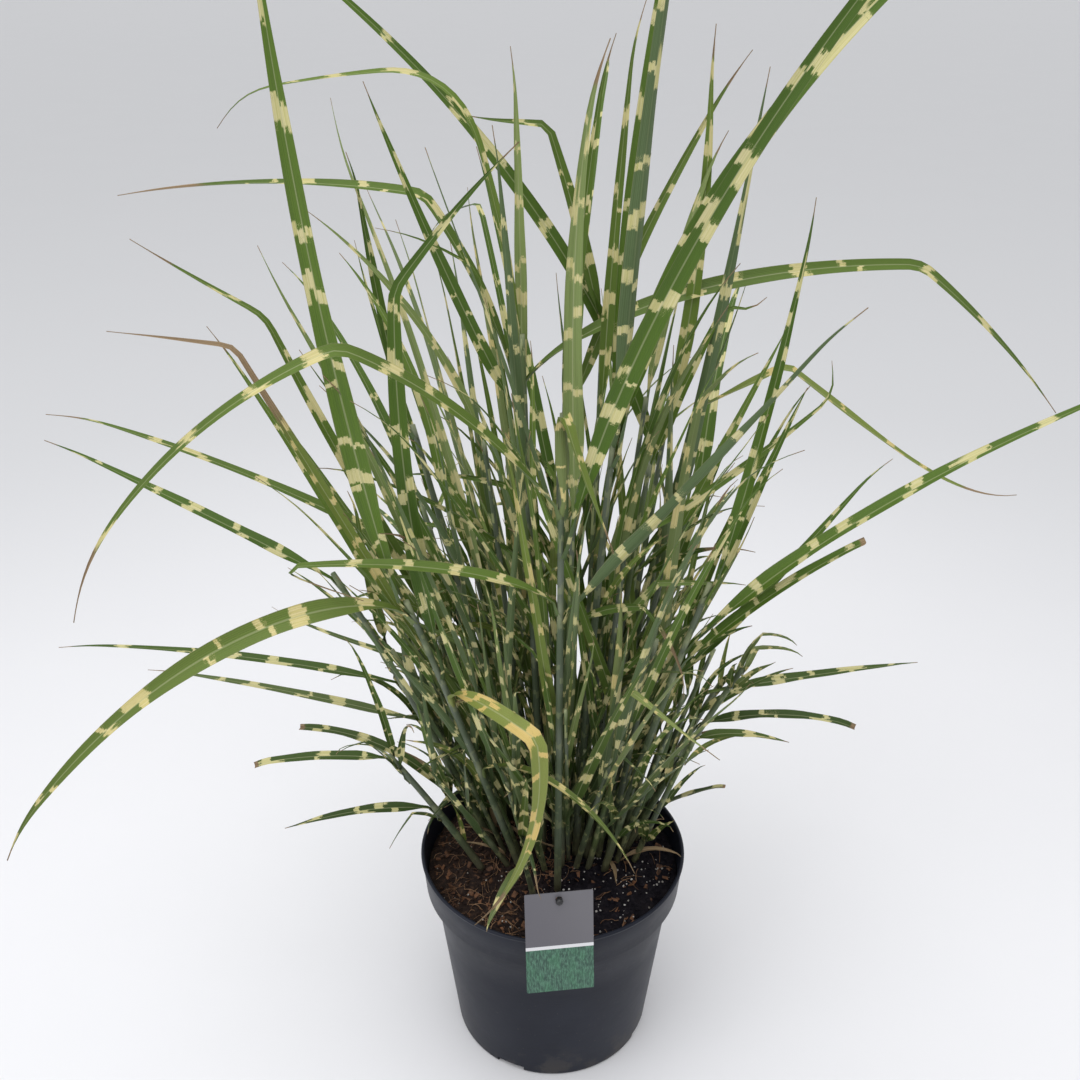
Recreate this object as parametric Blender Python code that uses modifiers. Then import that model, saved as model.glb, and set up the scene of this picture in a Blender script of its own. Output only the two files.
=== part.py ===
"""A clump of zebra miscanthus in a round plastic nursery pot.

The origin is the middle of the pot's flat underside, +Z is up, and the label is at the front, -Y.
Every culm and every blade is described by where it starts, its compass direction in degrees
(0 is +X, 90 is +Y), and its climb above level in degrees, and grows from there along its length.
"""

import math
from collections import namedtuple

import bmesh
import bpy
from mathutils import Matrix, Vector

# ---------------------------------------------------------------- driving dimensions, in metres

GAP = 0.0003                  # clearance between pieces that touch

POT_HEIGHT = 0.188
RIM_RADIUS = 0.115
BAND_HEIGHT = 0.032           # the deeper collar below the rim
BAND_FOOT_RADIUS = 0.1115
WALL_TOP_RADIUS = 0.1045
BASE_RADIUS = 0.0870
BASE_CORNER = 0.003
WALL = 0.0020
LIP_RADIUS = 0.0016
FLOOR = 0.0025

DRAIN_COUNT = 4
DRAIN_WIDTH = 0.026
DRAIN_HEIGHT = 0.006
DRAIN_DEPTH = 0.012
DRAIN_COMPASS = 245.0

SOIL_TOP = 0.170              # height of the soil above the underside of the pot

CARD_WIDTH = 0.054
CARD_HEIGHT = 0.090
CARD_THICKNESS = 0.0006
CARD_CORNER = 0.0012
CARD_LEAN = 10.0              # degrees, top towards the plant
CARD_YAW = 7.0                # degrees, seen from above
CARD_REST = Vector((0.0045, -0.1168, 0.1890))   # where the card leans on the rim
CARD_ABOVE_REST = 0.0465
CARD_HOLE_RADIUS = 0.0028
CARD_HOLE_DROP = 0.0065       # hole centre below the card's top edge
CARD_HOLE_CUT = 0.010         # depth of the punch, well through the card

STAKE_RADIUS = 0.0014
STAKE_FOOT = Vector((0.0035, -0.1010, SOIL_TOP + GAP))
KNOB_SCALE = 2.1              # the knob's radius over the stake's

CULM_FOOT_RADIUS = 0.0036
CULM_TOP_RADIUS = 0.0024
CULM_STEPS = 8
CULM_NODE_EVERY = 0.095       # the joints of the stem
CULM_NODE_SWELL = 1.22

BLADE_STEPS = 15
BLADE_KEEL = 0.12             # depth of the V section over the width
BLADE_BODY = 0.06             # thickness at the midrib over the width
BLADE_FOOT_WIDTH = 0.30       # width where the blade leaves the culm, over its full width
BLADE_TIP_WIDTH = 0.05
BLADE_OPENS_BY = 0.22         # share of the length by which it has opened to its full width
BLADE_TAPER = 1.9             # above 1 keeps the taper for the tip
FOLD_SPAN = 0.10              # share of the length over which a folded blade turns over

STEPS_ROUND = 56

# ---------------------------------------------------------------- the plant

Culm = namedtuple("Culm", "name x y compass climb nod length")
# x and y are where it leaves the soil; climb is at the foot and nod is what it has lost at the top

CULMS = [
    Culm("culm_01", 0.004, -0.040, 270, 89, 1, 0.400),
    Culm("culm_02", -0.028, -0.014, 201, 74, 2, 0.300),
    Culm("culm_03", -0.052, 0.015, 176, 68, 5, 0.300),
    Culm("culm_04", -0.062, -0.014, 190, 64, 6, 0.150),
    Culm("culm_05", -0.026, 0.032, 150, 77, 4, 0.390),
    Culm("culm_06", -0.008, 0.008, 120, 86, 2, 0.430),
    Culm("culm_07", 0.020, 0.002, 320, 87, 2, 0.420),
    Culm("culm_08", 0.034, 0.032, 22, 80, 4, 0.410),
    Culm("culm_09", 0.045, -0.016, 352, 78, 4, 0.300),
    Culm("culm_10", 0.064, 0.008, 4, 67, 6, 0.210),
    Culm("culm_11", 0.074, 0.038, 14, 66, 6, 0.170),
    Culm("culm_12", 0.008, 0.060, 88, 73, 6, 0.360),
    Culm("culm_13", -0.036, 0.066, 126, 64, 6, 0.300),
    Culm("culm_14", 0.052, 0.066, 54, 65, 6, 0.300),
]

Blade = namedtuple(
    "Blade", "name culm height compass rise fall length width bend turn fold_at fold_by roll twist",
    defaults=(1.0, 0, 1.0, 0, 0, 0),
)
# height is where it leaves the culm, as a share of the culm's length; rise and fall are its climb
# at its foot and at its tip; bend above 1 keeps the change for the tip; turn is the change of
# compass direction; a folded blade turns down by fold_by degrees at the share fold_at;
# roll turns the blade about its midrib, and twist is how much more it has turned at the tip

BLADES = [
    # off the upright front culm
    Blade("blade_01", "culm_01", 0.92, 203, 54, -20, 0.440, 0.012, 1.3, 0, 0.45, 44, -40),
    Blade("blade_02", "culm_01", 0.720, 187, 56, -6, 0.252, 0.011, 0.32, 0, 0.775, 150, -30),
    Blade("blade_03", "culm_01", 0.700, 358, 49, 54, 0.300, 0.017, 1.0, 0, 1.0, 0, -60, 20),
    Blade("blade_04", "culm_01", 0.93, 300, 92, 96, 0.165, 0.014, 1.0, 50, 0.38, 162),
    # off the leaning culm at the front left
    Blade("blade_05", "culm_02", 1.00, 196, 78, 88, 0.490, 0.018, 1.0, 0, 1.0, 0, -105),
    Blade("blade_06", "culm_02", 0.966, 204, 56, -53, 0.355, 0.018, 0.39, 0, 1.0, 0, -50),
    Blade("blade_07", "culm_02", 0.689, 300, 64, -56, 0.300, 0.015, 0.415, 66, 0.35, 67, 12, 82),
    Blade("blade_08", "culm_02", 0.42, 322, 40, -55, 0.170, 0.009, 0.9),
    Blade("blade_20", "culm_02", 0.78, 352, 102, 80, 0.420, 0.016, 1.0, 0, 0.70, 34, 100),
    # left side
    Blade("blade_09", "culm_05", 0.665, 176, 32, 15, 0.350, 0.011, 1.0, 0, 1.0, 0, -25),
    Blade("blade_10", "culm_03", 0.98, 172, 28, 24, 0.245, 0.012, 1.0, 0, 1.0, 0, -25),
    Blade("blade_11", "culm_03", 0.62, 176, 12, -2, 0.285, 0.010, 1.0, 0, 1.0, 0, -20),
    Blade("blade_12", "culm_05", 0.38, 176, 62, 69, 0.470, 0.013, 1.0, 0, 0.77, 38, -50),
    Blade("blade_13", "culm_04", 0.55, 192, 14, -16, 0.120, 0.010, 1.0, 0, 1.0, 0, -25),
    Blade("blade_14", "culm_04", 0.98, 188, 14, -8, 0.105, 0.009, 1.0, 0, 1.0, 0, -25),
    Blade("blade_15", "culm_02", 0.86, 170, 62, 62, 0.345, 0.009, 1.0, 0, 0.74, 58, -40),
    Blade("blade_16", "culm_05", 1.00, 204, 80, 84, 0.215, 0.011, 1.0, 0, 1.0, 0, -80),
    Blade("blade_17", "culm_06", 0.95, 200, 64, 70, 0.255, 0.011, 1.0, 0, 1.0, 0, -100),
    # centre
    Blade("blade_18", "culm_06", 1.00, 170, 84, 38, 0.385, 0.011, 0.5, 0, 0.385, 48, -30),
    Blade("blade_19", "culm_06", 0.80, 252, 82, 77, 0.280, 0.010),
    Blade("blade_21", "culm_08", 0.80, 176, 78, 33, 0.540, 0.013, 0.85, 0, 1.0, 0, -75),
    Blade("blade_22", "culm_07", 0.90, 22, 90, 72, 0.470, 0.014, 1.6, 0, 1.0, 0, 65),
    Blade("blade_23", "culm_07", 0.98, 300, 86, 76, 0.400, 0.015, 1.3),
    Blade("blade_24", "culm_01", 0.84, 345, 80, 49, 0.540, 0.017, 0.75, 0, 1.0, 0, 105),
    # right side
    Blade("blade_25", "culm_07", 0.94, 350, 86, 34, 0.480, 0.018, 0.8, 0, 1.0, 0, 75),
    Blade("blade_26", "culm_06", 1.00, 6, 66, -14, 0.490, 0.014, 0.35, 0, 0.64, 34, 34, 44),
    Blade("blade_27", "culm_08", 0.70, 340, 80, 84, 0.370, 0.012, 1.0, 0, 1.0, 0, -80),
    Blade("blade_28", "culm_09", 1.00, 338, 78, 84, 0.290, 0.011, 1.0, 0, 1.0, 0, 80),
    Blade("blade_29", "culm_08", 1.00, 352, 30, 76, 0.280, 0.010, 6.0, 0, 0.24, 66, 20),
    Blade("blade_30", "culm_09", 0.97, 10, 72, 68, 0.170, 0.010, 1.0, 0, 1.0, 0, 60),
    Blade("blade_31", "culm_09", 0.82, 350, 54, 28, 0.390, 0.014, 0.7, 0, 1.0, 0, 30),
    Blade("blade_32", "culm_09", 0.76, 348, 52, 36, 0.170, 0.011, 1.0, 0, 1.0, 0, 30),
    Blade("blade_33", "culm_09", 0.70, 16, 44, 50, 0.235, 0.010, 1.0, 0, 1.0, 0, 50),
    Blade("blade_34", "culm_11", 0.92, 8, 6, 2, 0.180, 0.011, 1.0, 0, 1.0, 0, 20),
    Blade("blade_35", "culm_11", 0.70, 352, 24, -14, 0.135, 0.010, 1.0, 0, 1.0, 0, 20),
    Blade("blade_36", "culm_11", 0.12, 344, 44, 24, 0.080, 0.008),
    # back
    Blade("blade_37", "culm_12", 0.98, 80, 74, 20, 0.420, 0.016),
    Blade("blade_38", "culm_12", 0.72, 120, 68, 62, 0.350, 0.013),
    Blade("blade_39", "culm_13", 0.96, 138, 66, 34, 0.270, 0.012),
    Blade("blade_40", "culm_13", 0.60, 118, 24, -14, 0.260, 0.011),
    Blade("blade_41", "culm_14", 0.97, 72, 72, 0, 0.270, 0.016, 1.4),
    Blade("blade_42", "culm_14", 0.62, 66, 28, -16, 0.260, 0.011),
]

# ---------------------------------------------------------------- scene helpers

PART_NAME = "potted_miscanthus_grass_clump"


def clear_scene():
    for item in list(bpy.data.objects):
        bpy.data.objects.remove(item, do_unlink=True)


def collection(name):
    group = bpy.data.collections.new(name)
    bpy.context.scene.collection.children.link(group)
    return group


def material(name, colour, roughness):
    finish = bpy.data.materials.new(name)
    finish.use_nodes = True
    surface = finish.node_tree.nodes["Principled BSDF"]
    surface.inputs["Base Color"].default_value = (*colour, 1.0)
    surface.inputs["Roughness"].default_value = roughness
    surface.inputs["Metallic"].default_value = 0.0
    return finish


def add_object(name, data, group, finish=None):
    item = bpy.data.objects.new(name, data)
    group.objects.link(item)
    if finish:
        data.materials.append(finish)
    return item


def hide_guide(item):
    item.hide_render = True
    item.display_type = "WIRE"


# ---------------------------------------------------------------- turned pieces

def profile_mesh(name, points):
    """An open outline in the XZ plane, as (radius, height) points joined in order."""
    outline = bpy.data.meshes.new(name)
    edges = [(i, i + 1) for i in range(len(points) - 1)]
    outline.from_pydata([(radius, 0.0, height) for radius, height in points], edges, [])
    return outline


def turned(name, points, group, finish):
    item = add_object(name, profile_mesh(name, points), group, finish)
    screw = item.modifiers.new("Turn", "SCREW")
    screw.steps = STEPS_ROUND
    screw.render_steps = STEPS_ROUND
    screw.use_merge_vertices = True
    screw.merge_threshold = 0.0001
    screw.use_smooth_shade = True
    return item


def arc(centre, radius, start, end, count):
    """Points of an arc, angles in degrees."""
    points = []
    for i in range(count + 1):
        angle = math.radians(start + (end - start) * i / count)
        points.append((centre[0] + radius * math.cos(angle), centre[1] + radius * math.sin(angle)))
    return points


def wall_radius(height):
    """Outer radius of the tapering wall."""
    share = height / (POT_HEIGHT - BAND_HEIGHT)
    return BASE_RADIUS + (WALL_TOP_RADIUS - BASE_RADIUS) * share


def pot_profile():
    lip_height = POT_HEIGHT - LIP_RADIUS
    lip_centre = (RIM_RADIUS - LIP_RADIUS, lip_height)
    band_foot = POT_HEIGHT - BAND_HEIGHT
    inside_floor = [(0.0, FLOOR), (wall_radius(FLOOR) - WALL, FLOOR)]
    inside_wall = [
        (WALL_TOP_RADIUS - WALL, band_foot),
        (BAND_FOOT_RADIUS - WALL, band_foot + 2 * WALL),
    ]
    lip = arc(lip_centre, LIP_RADIUS, 180.0, 0.0, 4)
    outside = [
        (BAND_FOOT_RADIUS, band_foot),
        (WALL_TOP_RADIUS, band_foot),
        (wall_radius(BASE_CORNER), BASE_CORNER),
    ]
    corner = arc((BASE_RADIUS - BASE_CORNER, BASE_CORNER), BASE_CORNER, 0.0, -90.0, 3)
    return inside_floor + inside_wall + lip + outside + corner[1:] + [(0.0, 0.0)]


def drain_cutter(name, compass, group):
    """A box across the bottom corner of the pot, standing off the flat underside's middle."""
    cutter_mesh = bpy.data.meshes.new(name)
    shape = bmesh.new()
    bmesh.ops.create_cube(shape, size=1.0)
    bmesh.ops.scale(shape, vec=(2 * DRAIN_DEPTH, DRAIN_WIDTH, 2 * DRAIN_HEIGHT), verts=shape.verts)
    shape.to_mesh(cutter_mesh)
    shape.free()
    cutter = add_object(name, cutter_mesh, group)
    angle = math.radians(compass)
    cutter.location = (BASE_RADIUS * math.cos(angle), BASE_RADIUS * math.sin(angle), 0.0)
    cutter.rotation_euler = (0.0, 0.0, angle)
    hide_guide(cutter)
    return cutter


def make_pot(parts, cutters):
    finish = material("black pot plastic", (0.045, 0.047, 0.056), 0.42)
    pot = turned("pot", pot_profile(), parts, finish)
    for i in range(DRAIN_COUNT):
        compass = DRAIN_COMPASS + 360.0 * i / DRAIN_COUNT
        cutter = drain_cutter(f"drain_cutter_{i + 1}", compass, cutters)
        cut = pot.modifiers.new(f"Drain {i + 1}", "BOOLEAN")
        cut.operation = "DIFFERENCE"
        cut.object = cutter
        cut.solver = "EXACT"
    return pot


def make_soil(parts):
    band_foot = POT_HEIGHT - BAND_HEIGHT
    foot = FLOOR + GAP
    rows = [
        (0.0, SOIL_TOP),
        (BAND_FOOT_RADIUS - WALL - GAP, SOIL_TOP),
        (BAND_FOOT_RADIUS - WALL - GAP, band_foot + 2 * WALL + GAP),
        (WALL_TOP_RADIUS - WALL - GAP, band_foot),
        (wall_radius(foot) - WALL - GAP, foot),
        (0.0, foot),
    ]
    return turned("soil", rows, parts, material("compost", (0.018, 0.012, 0.011), 0.95))


# ---------------------------------------------------------------- label

def card_frame():
    """Places a card drawn upright in the XZ plane, its resting line at the origin, on the rim."""
    yaw = Matrix.Rotation(math.radians(CARD_YAW), 4, "Z")
    lean = Matrix.Rotation(math.radians(-CARD_LEAN), 4, "X")
    return Matrix.Translation(CARD_REST) @ yaw @ lean


def make_card(parts, cutters):
    card_mesh = bpy.data.meshes.new("label_card")
    shape = bmesh.new()
    bmesh.ops.create_cube(shape, size=1.0)
    bmesh.ops.scale(shape, vec=(CARD_WIDTH, CARD_THICKNESS, CARD_HEIGHT), verts=shape.verts)
    middle = CARD_ABOVE_REST - CARD_HEIGHT / 2
    bmesh.ops.translate(shape, vec=(0.0, -CARD_THICKNESS / 2, middle), verts=shape.verts)
    upright = [
        edge for edge in shape.edges
        if abs(edge.verts[0].co.y - edge.verts[1].co.y) > CARD_THICKNESS / 2
    ]
    bmesh.ops.bevel(
        shape, geom=upright, offset=CARD_CORNER, affect="EDGES", segments=3, profile=0.5, material=-1
    )
    shape.to_mesh(card_mesh)
    shape.free()
    finish = material("printed card", (0.10, 0.13, 0.12), 0.45)
    card = add_object("label_card", card_mesh, parts, finish)
    card.matrix_world = card_frame()

    hole_mesh = bpy.data.meshes.new("card_hole")
    shape = bmesh.new()
    bmesh.ops.create_cone(
        shape, cap_ends=True, segments=20, radius1=CARD_HOLE_RADIUS, radius2=CARD_HOLE_RADIUS,
        depth=CARD_HOLE_CUT,
    )
    shape.to_mesh(hole_mesh)
    shape.free()
    hole = add_object("card_hole", hole_mesh, cutters)
    upright_hole = Matrix.Translation((0.0, 0.0, CARD_ABOVE_REST - CARD_HOLE_DROP))
    hole.matrix_world = card_frame() @ upright_hole @ Matrix.Rotation(math.radians(90.0), 4, "X")
    hide_guide(hole)
    punch = card.modifiers.new("Punch", "BOOLEAN")
    punch.operation = "DIFFERENCE"
    punch.object = hole
    punch.solver = "EXACT"
    return card


def make_stake(parts):
    """A thin peg that stands in the soil behind the card, with its knob through the card's hole."""
    frame = card_frame()
    hole_height = CARD_ABOVE_REST - CARD_HOLE_DROP
    behind = 2.2 * STAKE_RADIUS
    # each row is a point on the peg's centre line and its radius over the stake's
    route = [
        (STAKE_FOOT, 1.0),
        (STAKE_FOOT.lerp(frame @ Vector((0.0, 2 * behind, hole_height - 0.012)), 0.5), 1.0),
        (frame @ Vector((0.0, 1.6 * behind, hole_height - 0.007)), 1.0),
        (frame @ Vector((0.0, behind, hole_height - 0.002)), 1.0),
        (frame @ Vector((0.0, 0.35 * behind, hole_height)), 1.0),
        (frame @ Vector((0.0, -0.5 * behind, hole_height)), 1.0),
        (frame @ Vector((0.0, -0.9 * behind, hole_height)), KNOB_SCALE),
        (frame @ Vector((0.0, -1.5 * behind, hole_height)), KNOB_SCALE * 1.05),
        (frame @ Vector((0.0, -2.0 * behind, hole_height)), 0.6 * KNOB_SCALE),
    ]
    points = [point for point, _ in route]
    radii = [scale * STAKE_RADIUS for _, scale in route]
    finish = material("black peg", (0.012, 0.012, 0.014), 0.4)
    stake = tube("label_stake", points, radii, parts, finish)
    stake.data.bevel_resolution = 2
    return stake


# ---------------------------------------------------------------- culms and blades

def heading(compass, climb):
    """Unit vector for a compass direction and a climb above level, in degrees."""
    course = math.radians(compass)
    rise = math.radians(climb)
    level = math.cos(rise)
    return Vector((level * math.cos(course), level * math.sin(course), math.sin(rise)))


def eased(share):
    """0 below 0, 1 above 1, and a smooth step between."""
    share = min(max(share, 0.0), 1.0)
    return share * share * (3.0 - 2.0 * share)


def culm_points(culm):
    foot_clearance = CULM_FOOT_RADIUS * math.cos(math.radians(culm.climb))
    points = [Vector((culm.x, culm.y, SOIL_TOP + GAP + foot_clearance))]
    for i in range(CULM_STEPS):
        climb = culm.climb - culm.nod * (i + 0.5) / CULM_STEPS
        step = heading(culm.compass, climb) * culm.length / CULM_STEPS
        points.append(points[-1] + step)
    return points


def culm_radii(culm):
    radii = []
    for i in range(CULM_STEPS + 1):
        share = i / CULM_STEPS
        radius = CULM_FOOT_RADIUS + (CULM_TOP_RADIUS - CULM_FOOT_RADIUS) * share
        joints_passed = culm.length * share / CULM_NODE_EVERY
        at_joint = abs(joints_passed - round(joints_passed)) < 0.25
        if at_joint and 0 < i < CULM_STEPS:
            radius *= CULM_NODE_SWELL
        radii.append(radius)
    return radii


def point_along(points, share):
    """The point at a share of the way along evenly spaced points."""
    place = share * (len(points) - 1)
    index = min(int(place), len(points) - 2)
    return points[index].lerp(points[index + 1], place - index)


def blade_width(blade, share):
    """Width of the blade: it opens from the culm, then tapers for most of its length to a thread."""
    opening = BLADE_FOOT_WIDTH + (1.0 - BLADE_FOOT_WIDTH) * eased(share / BLADE_OPENS_BY)
    taper = 1.0 - share ** BLADE_TAPER
    return blade.width * max(opening * taper, BLADE_TIP_WIDTH)


def blade_points(blade, culm):
    """The midrib, starting a hair's breadth off the side of the culm."""
    side = heading(blade.compass, 0.0)
    radius = CULM_FOOT_RADIUS + (CULM_TOP_RADIUS - CULM_FOOT_RADIUS) * blade.height
    clearance = radius * CULM_NODE_SWELL + GAP + 0.5 * blade.width * BLADE_FOOT_WIDTH
    points = [point_along(culm_points(culm), blade.height) + side * clearance]
    for i in range(BLADE_STEPS):
        share = (i + 0.5) / BLADE_STEPS
        climb = blade.rise + (blade.fall - blade.rise) * share ** blade.bend
        climb -= blade.fold_by * eased((share - blade.fold_at) / FOLD_SPAN + 0.5)
        step = heading(blade.compass + blade.turn * share, climb)
        points.append(points[-1] + step * blade.length / BLADE_STEPS)
    return points


def curve_through(name, points, radii, rolls=None):
    curve = bpy.data.curves.new(name, "CURVE")
    curve.dimensions = "3D"
    curve.twist_mode = "MINIMUM"
    curve.use_fill_caps = True
    spline = curve.splines.new("POLY")
    spline.points.add(len(points) - 1)
    rolls = rolls or [0.0] * len(points)
    for spot, point, radius, roll in zip(spline.points, points, radii, rolls):
        spot.co = (*point, 1.0)
        spot.radius = radius
        spot.tilt = math.radians(roll)
    return curve


def tube(name, points, radii, group, finish):
    curve = curve_through(name, points, radii)
    curve.bevel_depth = 1.0
    curve.bevel_resolution = 1
    return add_object(name, curve, group, finish)


def blade_section(cutters):
    """The V section of a blade one metre wide, which each curve scales to its own width."""
    section = bpy.data.curves.new("blade_section", "CURVE")
    section.dimensions = "2D"
    outline = section.splines.new("POLY")
    corners = [
        (0.0, BLADE_BODY / 2),
        (0.5, BLADE_KEEL),
        (0.0, -BLADE_BODY / 2),
        (-0.5, BLADE_KEEL),
    ]
    outline.points.add(len(corners) - 1)
    for spot, corner in zip(outline.points, corners):
        spot.co = (*corner, 0.0, 1.0)
    outline.use_cyclic_u = True
    item = add_object("blade_section", section, cutters)
    hide_guide(item)
    return item


def make_culms(parts):
    finish = material("culm green", (0.115, 0.150, 0.078), 0.55)
    for culm in CULMS:
        tube(culm.name, culm_points(culm), culm_radii(culm), parts, finish)


def make_blades(parts, cutters):
    finish = material("blade green", (0.125, 0.185, 0.040), 0.50)
    section = blade_section(cutters)
    culms = {culm.name: culm for culm in CULMS}
    for blade in BLADES:
        points = blade_points(blade, culms[blade.culm])
        widths = [blade_width(blade, i / BLADE_STEPS) for i in range(BLADE_STEPS + 1)]
        rolls = [blade.roll + blade.twist * i / BLADE_STEPS for i in range(BLADE_STEPS + 1)]
        curve = curve_through(blade.name, points, widths, rolls)
        curve.bevel_mode = "OBJECT"
        curve.bevel_object = section
        add_object(blade.name, curve, parts, finish)


def main():
    clear_scene()
    parts = collection(PART_NAME)
    cutters = collection("cutters")
    make_pot(parts, cutters)
    make_soil(parts)
    make_card(parts, cutters)
    make_stake(parts)
    make_culms(parts)
    make_blades(parts, cutters)


main()
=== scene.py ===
import math
import random
from collections import namedtuple

import bmesh
import bpy
from mathutils import Matrix, Vector, noise


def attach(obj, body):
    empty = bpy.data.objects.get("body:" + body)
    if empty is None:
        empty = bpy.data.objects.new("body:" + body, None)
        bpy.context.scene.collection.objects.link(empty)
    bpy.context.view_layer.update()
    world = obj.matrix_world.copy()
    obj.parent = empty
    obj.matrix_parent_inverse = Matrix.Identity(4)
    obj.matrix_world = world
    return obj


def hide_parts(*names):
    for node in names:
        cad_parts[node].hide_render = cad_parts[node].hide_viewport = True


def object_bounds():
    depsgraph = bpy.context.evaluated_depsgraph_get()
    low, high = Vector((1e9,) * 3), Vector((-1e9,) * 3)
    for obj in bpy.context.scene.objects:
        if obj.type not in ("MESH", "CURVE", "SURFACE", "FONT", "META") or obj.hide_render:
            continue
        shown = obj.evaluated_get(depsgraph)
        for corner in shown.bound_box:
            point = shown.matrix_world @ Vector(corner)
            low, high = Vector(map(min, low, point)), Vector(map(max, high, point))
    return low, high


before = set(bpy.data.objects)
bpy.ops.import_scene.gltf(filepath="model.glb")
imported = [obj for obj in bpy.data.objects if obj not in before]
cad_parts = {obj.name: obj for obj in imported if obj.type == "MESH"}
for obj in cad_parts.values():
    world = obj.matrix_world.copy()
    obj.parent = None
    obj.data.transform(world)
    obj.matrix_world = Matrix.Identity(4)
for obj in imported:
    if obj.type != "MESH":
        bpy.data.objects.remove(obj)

# A clump of zebra grass in a plastic nursery pot. Lengths are in metres, +Z is up and the label is
# at the front, -Y. Compass directions are in degrees, 0 along +X and 90 along +Y, and a climb is
# in degrees above level.

CAD_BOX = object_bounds()

# ---------------------------------------------------------------- sizes shared with the CAD model

GAP = 0.0003                  # clearance between parts that only just do not touch
POT_HEIGHT = 0.188
RIM_RADIUS = 0.115
BAND_HEIGHT = 0.032
BAND_FOOT_RADIUS = 0.1115
WALL_TOP_RADIUS = 0.1045
BASE_RADIUS = 0.0870
BASE_CORNER = 0.003
WALL = 0.0020
LIP_RADIUS = 0.0016
FLOOR = 0.0025
DRAIN_COUNT = 4
DRAIN_WIDTH = 0.026
DRAIN_HEIGHT = 0.006
DRAIN_DEPTH = 0.012
DRAIN_COMPASS = 245.0
SOIL_TOP = 0.170

CARD_WIDTH = 0.054
CARD_HEIGHT = 0.090
CARD_THICKNESS = 0.0006
CARD_CORNER = 0.0012
CARD_LEAN = 10.0
CARD_YAW = 7.0
CARD_REST = Vector((0.0045, -0.1168, 0.1890))
CARD_ABOVE_REST = 0.0465
CARD_HOLE_RADIUS = 0.0028
CARD_HOLE_DROP = 0.0065
STAKE_RADIUS = 0.0014
STAKE_FOOT = Vector((0.0035, -0.1010, SOIL_TOP + GAP))

CULM_FOOT_RADIUS = 0.0036
CULM_TOP_RADIUS = 0.0024
CULM_NODE_SWELL = 1.22
FOOT_WIDTH = 0.30             # a blade's width at its foot and at its tip, as shares of its widest
TIP_WIDTH = 0.05
OPENS_BY = 0.22               # share of its length by which it has opened to its full width
TAPER = 1.9                   # how late it narrows; higher keeps it wide for longer
FOLD_SPAN = 0.06              # share of its length over which it folds

# ---------------------------------------------------------------- the plant

# a stem: where it leaves the soil, the way it leans, how far it nods over and how long it is
Culm = namedtuple("Culm", "name x y compass climb nod length")

CULMS = [
    Culm("culm_01", 0.004, -0.040, 270, 89, 1, 0.400),
    Culm("culm_02", -0.028, -0.014, 201, 74, 2, 0.300),
    Culm("culm_03", -0.052, 0.015, 176, 68, 5, 0.300),
    Culm("culm_04", -0.062, -0.014, 190, 64, 6, 0.150),
    Culm("culm_05", -0.026, 0.032, 150, 77, 4, 0.390),
    Culm("culm_06", -0.008, 0.008, 120, 86, 2, 0.430),
    Culm("culm_07", 0.020, 0.002, 320, 87, 2, 0.420),
    Culm("culm_08", 0.034, 0.032, 22, 80, 4, 0.410),
    Culm("culm_09", 0.045, -0.016, 352, 78, 4, 0.300),
    Culm("culm_10", 0.064, 0.008, 4, 67, 6, 0.210),
    Culm("culm_11", 0.074, 0.038, 14, 66, 6, 0.170),
    Culm("culm_12", 0.008, 0.060, 88, 73, 6, 0.360),
    Culm("culm_13", -0.036, 0.066, 126, 64, 6, 0.300),
    Culm("culm_14", 0.052, 0.066, 54, 65, 6, 0.300),
]

# a blade: the stem and the share of its height that it leaves from, its compass, its climb at the foot
# and at the tip, its length and width, how late it bends, how far its compass turns, where and by how
# much it folds, its roll and twist about its midrib, how long the fold is and how far its tip droops
Blade = namedtuple(
    "Blade",
    "name culm height compass rise fall length width bend turn fold_at fold_by roll twist span drop",
    defaults=(1.0, 0, 1.0, 0, 0, 0, FOLD_SPAN, None),
)

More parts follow.
